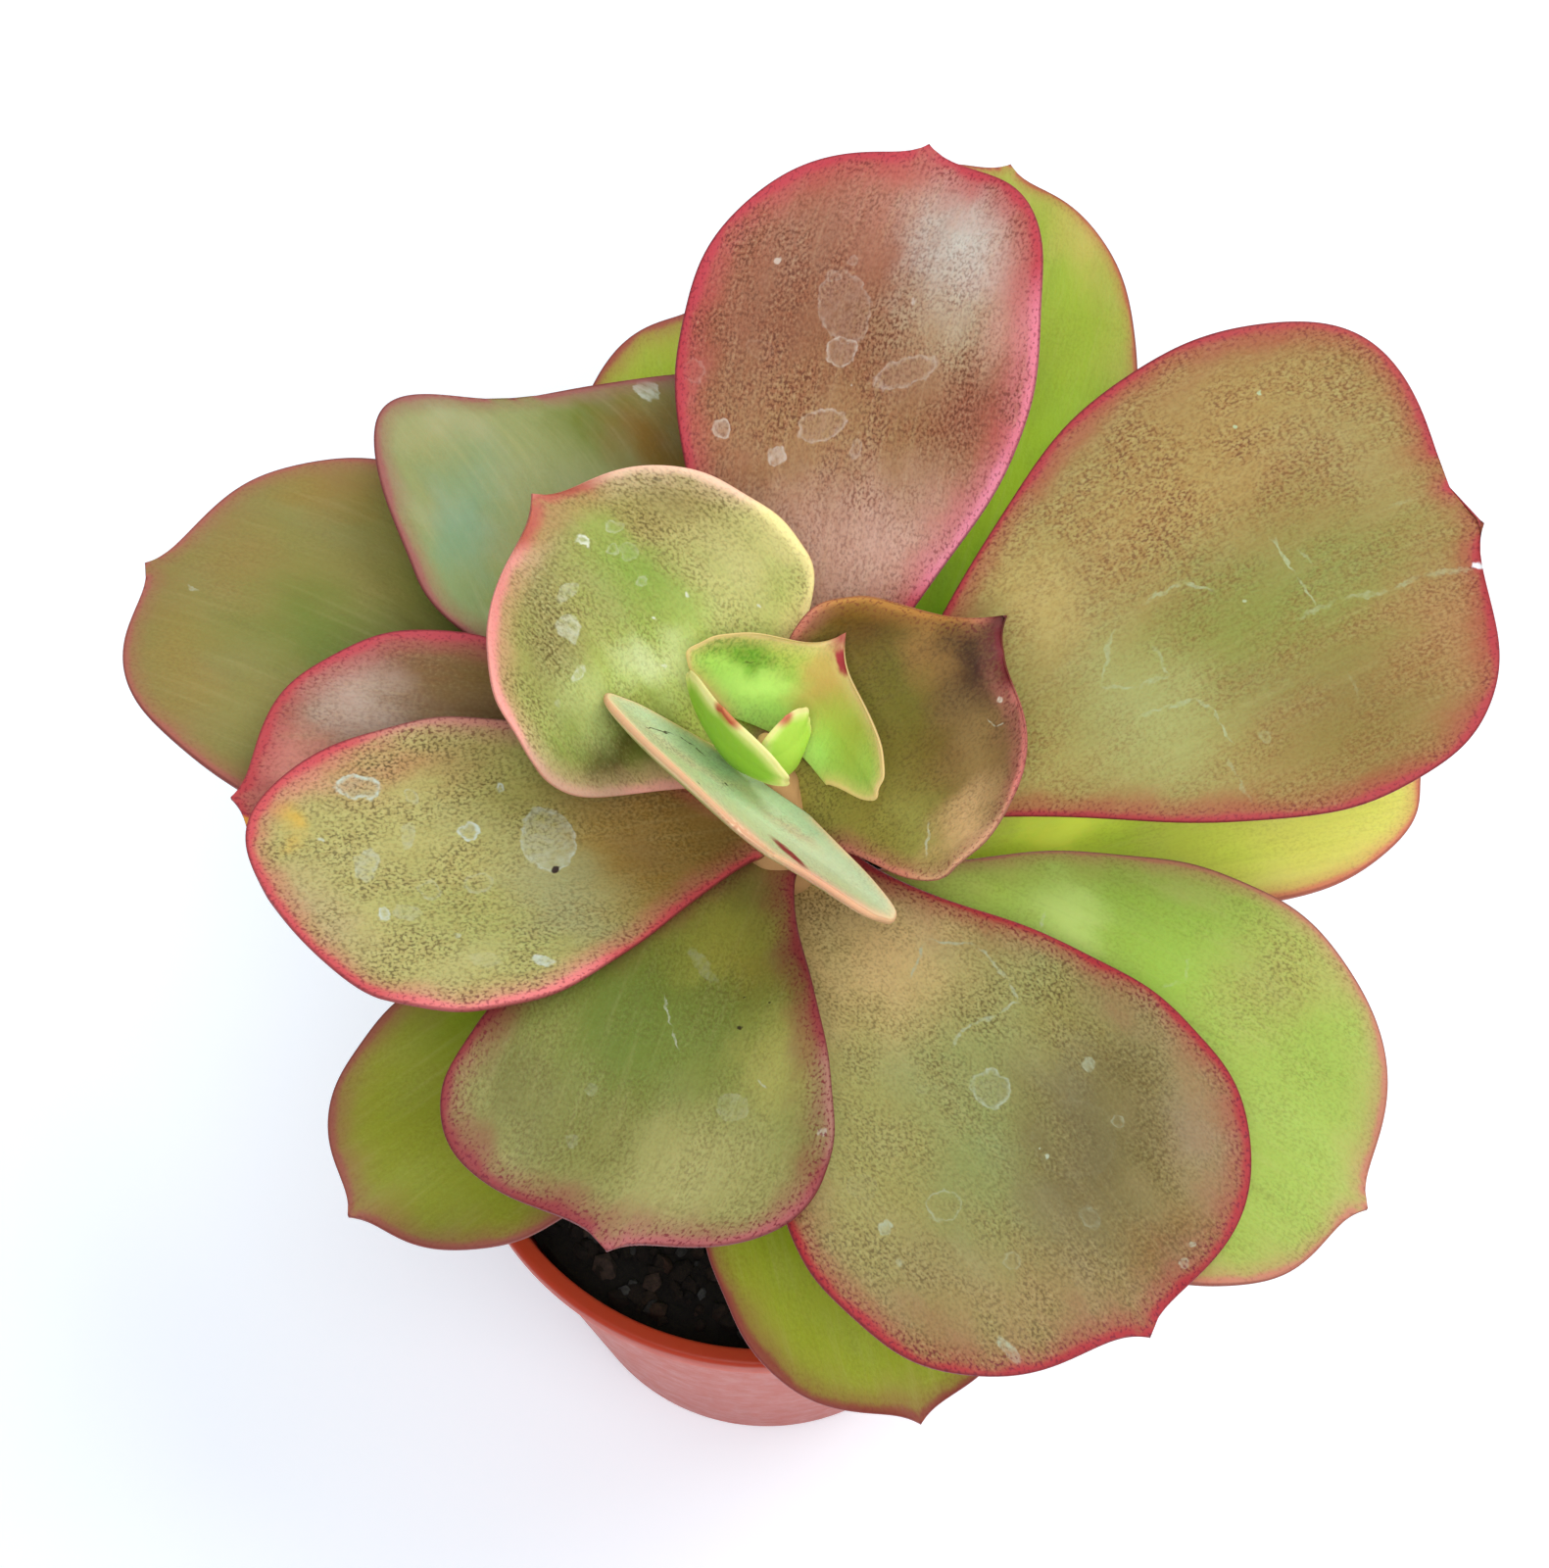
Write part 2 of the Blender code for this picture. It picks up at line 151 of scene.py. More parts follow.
# The leaves from the youngest to the oldest: direction in plan, counter-clockwise from +X, height of
# the root, length, width, and slope at the root and at the tip.
LEAVES = {
    "leaf_01": leaf(
        -45, 122.1, 10, 8, (88, 96), reach=3.2, cup=(20, 25), widest=0.5, neck=0.5, blunt=0.8, thick=1.2,
        mucro=1.2),
    "leaf_02": leaf(
        -140, 124.3, 10.8, 17, (78, 92), reach=4.5, cup=(22, 24), widest=0.5, neck=0.35, blunt=0.8,
        thick=1.3, mucro=1.5),
    "leaf_03": leaf(
        46, 121.4, 11, 27, (62, 46), reach=2.8, roll=-9, fold=12, skew=0.05, cup=(22, 38), widest=0.5,
        neck=0.5, blunt=0.85, thick=2, mucro=3.5, point_width=1.6),
    "leaf_04": leaf(
        -113, 121, 17, 38, (44, 62), reach=3.4, cup=(10, 5), roll=17.5, skew=-0.1, lean=-3, widest=0.58,
        neck=0.34, taper=1.1, blunt=0.8, thick=2.6, point_at=-5),
    "leaf_05": leaf(
        134, 115.5, 37, 40, (52, 36), reach=4, cup=(20, 36), roll=3.5, skew=-0.12, lean=-3, slant=0.1,
        widest=0.5, neck=0.18, taper=1.6, mucro=2.5),
    "leaf_06": leaf(
        19.5, 113.5, 28.2, 35, (46, 30), reach=2, cup=(22, 48), roll=-17, skew=0.08, lean=-1, slant=0.3,
        widest=0.58, neck=0.29, taper=1.6, blunt=0.85, mucro=5.5, point_width=2.5, point_at=-3),
    "leaf_07": leaf(
        -159.4, 111.8, 54.5, 32, (26, 14), sway=-4, roll=10, skew=0.05, lean=1, slant=0.35, widest=0.63,
        neck=0.22, blunt=0.82, mucro=2.4, point_at=-12),
    "leaf_08": leaf(79, 110.5, 72, 39, (38, 16), lean=3.5, widest=0.67, taper=2.1, neck=0.18, blunt=0.62),
    "leaf_09": leaf(-106, 108, 49, 40, (22, 2), skew=0.18, lean=2.5, widest=0.78, taper=1.7, blunt=0.6),
    "leaf_10": leaf(
        22.6, 105.3, 80.5, 52.5, (44, 8), bend=0.7, roll=-18.5, skew=0.06, lean=1, slant=-0.09, widest=0.75,
        taper=2.2, neck=0.14, blunt=0.48, mucro=2.2, point_at=5),
    "leaf_11": leaf(182, 104.5, 56, 39, (34, 6), roll=6, blunt=0.8),
    "leaf_12": leaf(
        -57, 102.5, 64.5, 48, (22, 0), cup=(18, 8), skew=0.03, widest=0.68, taper=1.8, neck=0.34,
        blunt=0.68),
    "leaf_13": leaf(
        117.5, 101.3, 60, 44.5, (30, 16), roll=-2, skew=-0.04, lean=-4, slant=-0.37, widest=0.72, taper=2.6,
        neck=0.15, blunt=0.55, mucro=0, notch=2),
    "leaf_14": leaf(154, 97.6, 74.5, 45.5, (26, 5), cup=(18, 10), lean=-3, taper=1.5, neck=0.16, blunt=0.7),
    "leaf_15": leaf(70, 96.6, 86, 43, (24, 10), cup=(18, 10), sway=-2, lean=-3, neck=0.14),
    "leaf_16": leaf(-33.5, 97, 70, 46, (22, 0), sway=4, skew=-0.03, lean=2, neck=0.22, blunt=0.72),
    "leaf_17": leaf(97, 93, 71, 36, (18, 5), blunt=0.8),
    "leaf_18": leaf(12, 92, 71, 28, (14, 2), widest=0.74, taper=2.5, neck=0.12),
    "leaf_19": leaf(-142, 91.5, 54, 32, (10, 0), sway=4),
    "leaf_20": leaf(-75, 88, 54.5, 35, (10, -5), blunt=0.8),
}

# What a skin has unless its own line says otherwise. under is the underside's colour. fleck and light
# are the dark and the pale stipple, mottle is the soft spotting under them, and flecks is how strong
# all three are. streaks run along the leaf. The widths of the blush and the margin are in millimetres,
# and a share is how much of a colour shows. outline is the thin dark line at the very edge: a painted
# shadow, where the surface turns away from the light. flush colours the leaf's point over flush_reach
# millimetres, and specks redden the margin in dots. bloom is a pale bloom of wax, mark is the colour of
# dried drops, and tone lightens or darkens the whole: painted light and shade, which bring each leaf to
# how light it looks where it sits, the heart leaves lightened against the shade they lie in.
SKIN_USUAL = dict(
    under="9AAE48", fleck="4E3218", mottle="8C6A3C", light="D8C88C", mark="CFD2BA", outline="6E2A2C",
    flecks=0.6, streaks=0.08, specks=0.5, bloom=0.1, blush_share=0.45, blush_width=4.0, margin_share=0.9,
    margin_width=1.0, outline_share=0.6, flush=None, flush_reach=2.8, tone=1.0, slot="leaf_olive")
YOUNG = dict(flecks=0.0, streaks=0.0, bloom=0.0, specks=0.0, outline="C8B060", outline_share=0.3,
             slot="leaf_young")
GREEN = dict(blush_width=6.0, flecks=0.12, streaks=0.08, bloom=0.03, specks=0.15, slot="leaf_green")
WAX, SPECK, DARK_MARK = "C9CDBE", "7E2232", "33231A"


def skin(colours, kind=(), **own):
    """A skin: its five colours and what it has of its own, over its kind, over what is usual."""
    five = zip(("root", "blade", "tip", "blush", "margin"), colours.split())
    return {**SKIN_USUAL, **dict(kind), **dict(five), **own}


# Skin of each leaf: its colours near the stem, on the blade, near the tip, in the blush along the edge
# and in the margin
SKINS = {
    "leaf_01": skin(
        "AAD848 B6DE54 C6E468 E8E88C EDE6A0", YOUNG, under="B8DE58", blush_width=1.2, margin_width=0.4,
        flush="B83038", flush_reach=1.8, tone=1.25),
    "leaf_02": skin(
        "7EB02C 88B832 C4E05C E0E67C F0ECA0", YOUNG, under="96C43C", blush_width=1.8, margin_width=0.6,
        tone=1.15),
    "leaf_03": skin(
        "BCE27C AED662 BEC85C C8D460 EFCB90", YOUNG, under="9CC040", fleck="44702A", flecks=0.3,
        blush_width=1.8, margin_width=0.7, flush="A0283C", tone=1.12),
    "leaf_04": skin(
        "B0C9A0 BDD0A6 C4CC98 D8C78C EED2A4", under="9CAC58", fleck="6B6A4C", flecks=0.25, bloom=0.2,
        blush_width=1.6, margin_width=0.8, specks=0.0, outline="C08058", slot="leaf_glaucous", tone=1.2),
    "leaf_05": skin(
        "AFBC58 A6B85C 9A9A50 AE9A64 EFA79A", fleck="5E5028", mottle="94864C", flecks=0.6, blush_width=3.5,
        margin_width=1.3, bloom=0.05, specks=0.1, outline="C8705C", outline_share=0.3, tone=1.1),
    "leaf_06": skin(
        "A09C48 8C8038 705024 7A4A34 E08C78", fleck="40281A", mottle="6E5830", light="8E7448", flecks=0.5,
        blush_width=3, margin_width=1.0, bloom=0.0, flush="451420", slot="leaf_bronze"),
    # leaf_07's dark brown root colour (806430) is painted shade, where its root lies in shade.
    "leaf_07": skin(
        "806430 ACA75C B8B068 C98E76 D04C54", fleck="4A3818", mottle="98804A", flecks=0.75, blush_width=3.0,
        margin_width=1.1, bloom=0.05, mark="C6CFBC", slot="leaf_bronze", tone=0.9),
    "leaf_08": skin(
        "D8A890 A4744C B87860 C8544C CC4450", fleck="64301C", mottle="A05A3C", light="DDBE92", flecks=0.6,
        streaks=0.15, blush_width=7, blush_share=0.5, margin_width=1.3, bloom=0.05, mark="D2BCA8",
        slot="leaf_bronze", tone=0.83),
    "leaf_09": skin(
        "86853A 83903A A0A05A 985048 9C3C42", fleck="5C3C20", mottle="746830", flecks=0.4, blush_width=5.5,
        blush_share=0.5, margin_width=1.3, specks=0.8, bloom=0.03, tone=0.8),
    "leaf_10": skin(
        "C8BA70 ACA058 A8884C AC4A38 BE4048", fleck="6E3A1E", mottle="9C5E34", flecks=0.5, blush_width=5,
        blush_share=0.5, margin_width=1.0, bloom=0.02, mark="BCC898", slot="leaf_bronze", tone=0.86),
    "leaf_11": skin(
        "78602E 86683A 8A6448 B05C5C C04650", fleck="583420", mottle="945E3C", flecks=0.45, blush_width=5,
        margin_width=1.2, bloom=0.05, slot="leaf_bronze", tone=0.95),
    "leaf_12": skin(
        "C6AA6C A2A262 9C8A52 A4584C B02C38", fleck="4E361C", mottle="84703C", flecks=0.7, streaks=0.06,
        blush_width=6.5, margin_width=1.1, specks=0.8, bloom=0.05, mark="B9C2A4", tone=0.9),
    "leaf_13": skin(
        "7A7C20 8A9C46 979C60 98805A A4605A", fleck="56603A", streaks=0.08, flecks=0.08, blush_width=3,
        margin_width=0.9, bloom=0.12, specks=0.1, slot="leaf_glaucous", tone=0.9),
    "leaf_14": skin(
        "8A7A34 7C8838 948C48 A07C4C B4685A", GREEN, fleck="6A4A30", margin_width=0.8, tone=0.85),
    "leaf_15": skin(
        "7CAA16 7EB41A A6BC3C CDBA68 C06A4C", GREEN, margin_width=0.6, under="88A038", tone=0.9),
    "leaf_16": skin("BCD860 9EC04A A8C054 BCAE68 C8806A", GREEN, flecks=0.25, margin_width=0.8, tone=0.95),
    "leaf_17": skin("9CAE2C A8C02C ACC030 B49C50 A85048", GREEN, tone=0.95),
    "leaf_18": skin("BCDC38 BCD244 CBC85C D0BC70 C07058", GREEN, margin_width=0.8, tone=1.3),
    "leaf_19": skin("78921C 849A20 90962C 987848 9C584C", GREEN, under="76862C", tone=1.1),
    "leaf_20": skin("80901C 88961C 98A02C 9C7C48 8C4038", GREEN, under="76862C", tone=1.2),
}

# Soft patches of other colours, each by the image pixels of the two ends of its long middle line, its
# half width in millimetres, how much of its colour shows, the colour, and how strong the stipple is
PATCHES = {
    "leaf_02": [(750, 752, 770, 768, 1.5, 0.8, "5C8A1C", 0)],
    "leaf_03": [
        (750, 670, 780, 672, 1.8, 0.8, "68A028", 0.7), (740, 700, 790, 705, 2, 0.7, "CCEE7E", 0),
        (825, 718, 848, 695, 2.4, 0.85, "D2A460", 0), (853, 672, 860, 668, 1.6, 0.95, "B04A50", 0.2),
        (845, 735, 872, 770, 3, 0.7, "A8A840", 0), (850, 800, 870, 830, 4, 0.6, "98AC3C", 0.1)],
    "leaf_04": [
        (660, 745, 760, 812, 1.6, 0.8, "D8CEA8", 0.6), (790, 835, 830, 862, 1.2, 0.7, "C0A080", 0.5),
        (800, 850, 860, 890, 3, 0.6, "D2D8AC", 0.1)],
    "leaf_05": [
        (680, 515, 720, 525, 3.5, 0.6, "C4B474", 0.6), (625, 565, 660, 590, 4, 0.75, "80A03E", 0.4),
        (750, 540, 770, 620, 5, 0.75, "CCC07C", 0.5), (640, 510, 720, 500, 3, 0.7, "988048", 0.9),
        # The near-black olive patch (423C00) low on leaf_05 is painted shade, where the leaf lies under
        # leaf_04.
        (555, 560, 560, 700, 3, 0.7, "8A8050", 1), (600, 780, 650, 760, 5, 0.95, "423C00", 0.5),
        (655, 665, 670, 680, 3, 0.65, "D2D8A6", 0.2), (582, 710, 600, 740, 3, 0.5, "B8C27C", 0.5)],
    "leaf_06": [
        (930, 680, 920, 720, 5, 0.7, "78762E", 0.3), (1014, 668, 1000, 695, 4.5, 0.95, "34120E", 0.7),
        (1030, 700, 1040, 760, 2.5, 0.7, "8C5848", 0.5), (930, 820, 940, 850, 4, 0.7, "A6A254", 0.3),
        (990, 740, 1000, 790, 4, 0.6, "AE9058", 0.4), (1000, 830, 980, 860, 4, 0.85, "E8BC84", 0.3),
        (870, 610, 900, 605, 3, 0.8, "82600C", 0.2), (945, 650, 958, 664, 3, 0.7, "A87C44", 0.3)],
    "leaf_07": [
        # The brown patch (A27C3C) at leaf_07's root is painted shade.
        (640, 860, 700, 880, 8, 0.85, "A27C3C", 0.4), (330, 790, 460, 770, 3, 0.7, "BE8058", 1),
        (285, 790, 320, 768, 3, 0.85, "E08E7C", 0.3), (300, 900, 350, 960, 3, 0.5, "BCA07A", 0.6),
        (550, 900, 600, 940, 5, 0.7, "98986C", 0.5), (290, 842, 292, 844, 1.8, 0.8, "D8AC40", 0.3),
        (440, 930, 520, 950, 4, 0.5, "A0A858", 0.7)],
    "leaf_08": [
        (800, 310, 860, 360, 11, 0.75, "8C5C34", 1), (715, 320, 720, 400, 4, 0.7, "8F582F", 0.9),
        (780, 430, 900, 450, 7, 0.7, "B08A56", 0.9), (900, 180, 990, 185, 4, 0.7, "C68470", 0.6),
        (985, 215, 985, 290, 5.5, 0.85, "DAD6C6", 0.45), (940, 330, 1000, 355, 5, 0.6, "BCA878", 0.9),
        (1042, 300, 1050, 380, 3.5, 0.7, "E2A898", 0.3), (1000, 430, 1045, 390, 3.5, 0.65, "984E3C", 0.9),
        (880, 560, 940, 560, 8, 0.85, "E0B4A0", 0.6)],
    "leaf_09": [
        (650, 1030, 640, 1090, 7, 0.85, "6C8026", 0.3), (600, 1150, 600, 1170, 5, 0.6, "7C7C34", 0.5),
        (700, 1200, 730, 1220, 7, 0.7, "B4AC68", 0.4), (795, 1060, 795, 1090, 4, 0.7, "B4AC58", 0.3),
        (720, 950, 760, 960, 5, 0.85, "B4B44C", 0.3), (515, 1090, 530, 1140, 4, 0.5, "6A6630", 0.4),
        (760, 975, 790, 985, 4, 0.6, "A0903A", 0.3)],
    "leaf_10": [
        (1120, 560, 1300, 420, 7.5, 0.85, "B89A54", 1), (1350, 420, 1440, 480, 6, 0.6, "AEA05C", 0.7),
        (1220, 650, 1400, 570, 8, 0.85, "8E9A44", 0.45), (1150, 700, 1180, 750, 7, 0.7, "BABE74", 0.25),
        (1350, 720, 1400, 740, 7, 0.6, "8A7E38", 0.4), (1480, 620, 1500, 660, 5, 0.7, "B88A58", 0.7),
        (1050, 600, 1070, 620, 4, 0.7, "CCB468", 0.4)],
    "leaf_11": [
        (350, 712, 390, 728, 4.5, 0.85, "C0A896", 0.5), (450, 700, 500, 690, 5, 0.7, "7A6028", 0.2),
        (280, 790, 305, 780, 4, 0.85, "E09080", 0.3)],
    "leaf_12": [
        (890, 1000, 920, 950, 7, 0.85, "E2C084", 0.4), (880, 1100, 900, 1250, 6, 0.7, "AAA45C", 0.5),
        (1000, 1120, 1018, 1240, 6, 0.6, "869A54", 0.4), (1110, 1090, 1120, 1240, 7, 0.9, "70643A", 0.4),
        (1180, 1290, 1200, 1270, 4, 0.7, "8A5C30", 0.5), (1000, 1320, 1120, 1325, 4, 0.6, "A68858", 0.6),
        (1080, 1030, 1090, 1045, 4, 0.4, "A49C4C", 0.8), (1205, 1120, 1215, 1180, 4, 0.45, "A08474", 0.3)],
    "leaf_13": [
        # The olive-brown patch (8A6004) on leaf_13's right side is partly its own olive and partly painted
        # shade from leaf_08's shadow.
        (600, 440, 620, 410, 4, 0.9, "687404", 0.05), (665, 430, 690, 480, 5, 0.9, "8A6004", 0.1),
        (480, 500, 470, 580, 3.5, 0.8, "7A9C74", 0), (430, 440, 470, 430, 3, 0.5, "B4AC78", 0)],
    "leaf_14": [
        (240, 560, 230, 580, 4, 0.6, "A2874A", 0.2), (180, 640, 190, 720, 3, 0.6, "A48A46", 0.2),
        (300, 640, 350, 640, 5, 0.7, "68802A", 0.1), (320, 500, 350, 500, 3, 0.6, "A48038", 0.1)],
    "leaf_15": [
        # The bright green patch (BCE034) along leaf_15's strip is painted light, which lifts a strip that
        # lies in shade.
        (1110, 240, 1130, 220, 4, 0.7, "D0BA60", 0.1), (930, 600, 1060, 450, 5, 0.9, "BCE034", 0.05)],
    "leaf_16": [
        (1080, 930, 1095, 945, 4, 0.8, "CCE480", 0), (1180, 960, 1150, 1020, 5, 0.7, "9CC044", 0.1),
        (1290, 1010, 1320, 1000, 5, 0.6, "B8AE60", 0.5)],
    # The pale yellow-green patch (F0FF60) at leaf_18's root is painted light, which lifts the root out of
    # leaf_10's shadow.
    "leaf_18": [(1100, 845, 1080, 850, 4, 0.9, "F0FF60", 0)],
}

# Where the margin has another colour: two ends, half width and colour, as for the patches
RIMS = {
    "leaf_02": [(738, 722, 748, 730, 1.3, "B83038")],
    "leaf_04": [(760, 838, 860, 905, 3.0, "E8A090")],
    "leaf_05": [
        # The near-white yellow margin (FFF0A4) on leaf_05's right edge is a painted highlight, where the
        # light falls on it.
        (796, 490, 812, 600, 6, "FFF0A4"), (630, 490, 760, 472, 3.5, "FAD0B0"),
        (520, 600, 528, 700, 3.5, "E48C84"), (560, 790, 610, 815, 4, "C89C84"),
        (535, 540, 590, 508, 3, "B45A4C")],
    "leaf_06": [
        # The light pink margin (F89488) on leaf_06's steep right side is painted light, which lifts it out
        # of the shade there.
        (870, 592, 960, 640, 4, "D89A50"), (1050, 700, 1055, 780, 4, "F89488"),
        (1018, 652, 1040, 680, 2.0, "7C2830"), (1000, 850, 960, 880, 4, "E8B088")],
    "leaf_07": [(420, 748, 560, 760, 4, "D08C7C"), (600, 1014, 450, 1018, 4, "F08080")],
    "leaf_08": [(1066, 330, 1062, 430, 4, "F4889A"), (960, 560, 1010, 500, 5, "F490A4")],
    "leaf_09": [(650, 1266, 780, 1235, 4, "C06C6C"), (846, 1100, 846, 1150, 3, "B88070")],
    "leaf_10": [(1060, 600, 1130, 500, 4, "E07888"), (1300, 334, 1500, 350, 4, "C04848")],
    "leaf_11": [(250, 840, 300, 730, 5, "BC4248")],
}

# Dried drops and other long marks: two ends and half width as for the patches, how strong the middle
# and the brim are, and a colour where the mark has its own. A dark mark has its middle below zero.
LONG_MARKS = {
    "leaf_03": [(755, 676, 773, 676, 0.15, -0.5, 0), (854, 664, 862, 684, 1.2, 0.9, 0.9, "A8303C")],
    "leaf_04": [(796, 862, 818, 880, 1.7, 0.95, 0.95, "8A1F30")],
    "leaf_05": [
        (592, 554, 600, 552, 0.8, 0.45, 1.0), (590, 685, 590, 689, 0.6, 0.35, 0.6),
        (582, 636, 578, 646, 1.5, 0.5, 0.4), (579, 606, 583, 600, 1.0, 0.4, 0.3),
        (670, 489, 674, 487, 0.4, -0.5, 0)],
    "leaf_06": [(946, 835, 946, 878, 0.3, 0.5, 0.6)],
    "leaf_07": [
        (355, 805, 379, 805, 1.5, 0.3, 0.9), (474, 846, 480, 849, 1.0, 0.3, 1.0),
        (558, 850, 558, 868, 3.1, 0.4, 0.6), (372, 891, 378, 881, 1.3, 0.4, 0.5),
        (416, 842, 416, 852, 1.0, 0.25, 0.35), (480, 902, 496, 902, 1.3, 0.12, 0.4),
        (408, 928, 424, 928, 1.0, 0.3, 0.3), (550, 981, 562, 981, 0.7, 0.6, 0.8),
        (663, 965, 671, 963, 0.35, 0.7, 0.9), (487, 979, 507, 979, 0.8, 0.2, 0.25),
        (566, 883, 567, 884, 0.55, -1.0, 0)],
    "leaf_08": [
        (862, 300, 862, 325, 2.9, 0.28, 0.5), (836, 440, 848, 430, 1.9, 0.25, 0.7),
        (872, 450, 866, 462, 0.8, 0.25, 0.55), (906, 388, 940, 374, 1.6, 0.2, 0.6),
        (792, 264, 792, 265, 0.5, 1.0, 1.0), (766, 353, 776, 360, 1.2, 0.1, 0.25),
        (930, 305, 931, 309, 0.25, 0.9, 0.9), (865, 390, 866, 392, 0.2, 0.8, 0.8)],
    "leaf_09": [(709, 972, 723, 995, 0.9, 0.3, 0.3), (771, 1104, 777, 1113, 0.25, 0.6, 0.6)],
    "leaf_10": [
        (1504, 578, 1519, 575, 0.5, 1.0, 1.0, "FFFFFF"), (1320, 547, 1344, 582, 0.25, 0.45, 0.45),
        (1417, 520, 1444, 502, 0.3, 0.3, 0.3), (1372, 682, 1389, 709, 0.25, 0.3, 0.3)],
    "leaf_12": [
        (1010, 1108, 1010, 1116, 2.0, 0.25, 0.7), (919, 1287, 919, 1291, 0.5, 0.5, 0.5),
        (1114, 1238, 1114, 1244, 1.1, 0.15, 0.35), (1020, 1370, 1040, 1388, 0.7, 0.5, 0.7)],
    "leaf_13": [(659, 394, 659, 402, 1.2, 0.75, 0.75)],
    "leaf_14": [(190, 600, 200, 604, 0.3, 0.5, 0.5)],
}

# Round marks: the same, with one pixel for both ends
ROUND_MARKS = {
    "leaf_04": [
        (786, 823, 1.5, 0.3, 0.3), (738, 810, 0.7, 0.3, 0.4), (745, 807, 0.3, -0.8, 0),
        (715, 800, 0.3, -0.8, 0)],
    "leaf_05": [
        (627, 538, 1.0, 0.12, 0.4), (620, 564, 0.8, 0.12, 0.4), (644, 562, 1.2, 0.2, 0.3),
        (653, 596, 0.8, 0.25, 0.4), (570, 717, 0.6, 0.3, 0.3), (699, 608, 0.35, 1.0, 1.0),
        (669, 628, 0.25, 0.9, 0.9), (772, 620, 0.3, 0.8, 0.8), (676, 682, 0.35, 0.9, 0.9)],
    "leaf_06": [(1023, 716, 0.4, 1.0, 1.0)],
    "leaf_07": [
        (507, 807, 0.55, 0.4, 0.9), (419, 812, 1.0, 0.1, 0.4), (440, 904, 1.3, 0.1, 0.4),
        (390, 935, 0.8, 0.5, 0.8), (328, 860, 0.4, 0.8, 0.8), (470, 954, 0.35, 0.5, 0.5)],
    "leaf_08": [
        (865, 359, 1.8, 0.3, 0.8), (848, 283, 0.9, 0.25, 0.55), (867, 264, 0.8, 0.28, 0.45),
        (735, 435, 1.2, 0.5, 0.9), (787, 463, 1.15, 0.7, 0.9), (707, 378, 1.4, 0.12, 0.4)],
    "leaf_09": [
        (746, 1129, 1.8, 0.25, 0.3), (611, 1115, 0.8, 0.25, 0.3), (583, 1163, 0.9, 0.25, 0.3),
        (837, 1156, 0.7, 0.9, 0.9), (757, 1047, 0.35, -0.8, 0), (763, 1022, 0.2, -0.8, 0),
        (789, 1022, 0.2, -0.8, 0)],
    "leaf_10": [
        (1285, 402, 0.35, 1.0, 1.0), (1260, 437, 0.35, 1.0, 1.0), (1286, 747, 0.8, 0.3, 0.4),
        (1267, 607, 0.3, 0.8, 0.8)],
    "leaf_11": [(251, 837, 0.8, 0.95, 0.95, "D8963C"), (248, 860, 0.7, 0.9, 0.9, "D8963C")],
    "leaf_12": [
        (1114, 1084, 0.85, 0.5, 0.6), (960, 1232, 1.9, 0.05, 0.5), (908, 1252, 0.9, 0.5, 0.6),
        (940, 1116, 0.8, 0.2, 0.2), (1030, 1286, 1.1, 0.1, 0.35), (1139, 1149, 0.9, 0.1, 0.4),
        (1099, 1162, 4.5, 0.1, 0.15), (877, 1210, 1.6, 0.15, 0.2), (1069, 1177, 0.4, 0.9, 0.9),
        (1054, 1178, 0.2, 0.9, 0.9), (1210, 1288, 0.6, 0.4, 0.7), (1219, 1271, 0.5, 0.5, 0.7)],
}

# Scratches and cracks: half width, strength, and the pixels that the crooked line runs through
SCRATCHES = {
    "leaf_04": [(0.16, -0.8, (656, 738), (692, 750), (710, 764), (720, 774))],
    "leaf_06": [(0.15, 0.5, (1008, 735), (1020, 741), (1026, 738))],
    "leaf_09": [(0.2, 0.55, (678, 1011), (681, 1051), (687, 1068))],
    "leaf_10": [
        (0.4, 0.45, (1514, 579), (1450, 592), (1420, 600), (1370, 612), (1317, 628)),
        (0.25, 0.6, (1296, 544), (1318, 580), (1344, 616)),
        (0.3, 0.55, (1136, 630), (1127, 702), (1160, 696), (1196, 681), (1180, 655)),
        (0.35, 0.6, (1172, 623), (1207, 602), (1234, 606)),
        (0.3, 0.6, (1162, 731), (1190, 724), (1224, 711), (1241, 719), (1250, 740), (1262, 761)),
        (0.3, 0.4, (1255, 768), (1258, 795), (1275, 819))],
    "leaf_12": [
        (0.28, 0.6, (930, 999), (942, 962), (999, 968), (1032, 999), (1036, 1021),
         (1025, 1032), (992, 1043), (977, 1055), (969, 1069))],
    "leaf_16": [
        (0.3, 0.45, (1069, 932), (1065, 951), (1084, 977), (1095, 992)),
        (0.25, 0.25, (1217, 977), (1210, 999), (1180, 1010))],
}


# Shared shapes
def stem_axis(height):
    """The point of the stem's centre line at a height, read off straight runs through STEM_POINTS."""
    x, y, z = np.transpose(STEM_POINTS)
    return np.stack([np.interp(height, z, x), np.interp(height, z, y), height], -1)


def to_pixels(points):
    """Image pixels of points in millimetres: a pinhole at CAMERA_AT that looks along +Y and down."""
    down = math.radians(CAMERA_ELEVATION)
    away = points - CAMERA_AT
    depth = away[..., 1] * math.cos(down) - away[..., 2] * math.sin(down)
    rise = away[..., 1] * math.sin(down) + away[..., 2] * math.cos(down)
    return np.stack([IMAGE[0] / 2 + CAMERA_FOCAL * away[..., 0] / depth,
                     IMAGE[1] / 2 - CAMERA_FOCAL * rise / depth], -1)


def full_turn(sides):
    """Angles of a ring's points, counter-clockwise from +X, as one row."""
    return np.linspace(0, 2 * np.pi, sides, endpoint=False)[None, :]


def ring_points(radius, angle, height):
    """Points on circles round Z: radius and height from ring to ring, angle along each ring."""
    return np.stack([radius * np.cos(angle), radius * np.sin(angle), height + 0 * angle], -1)


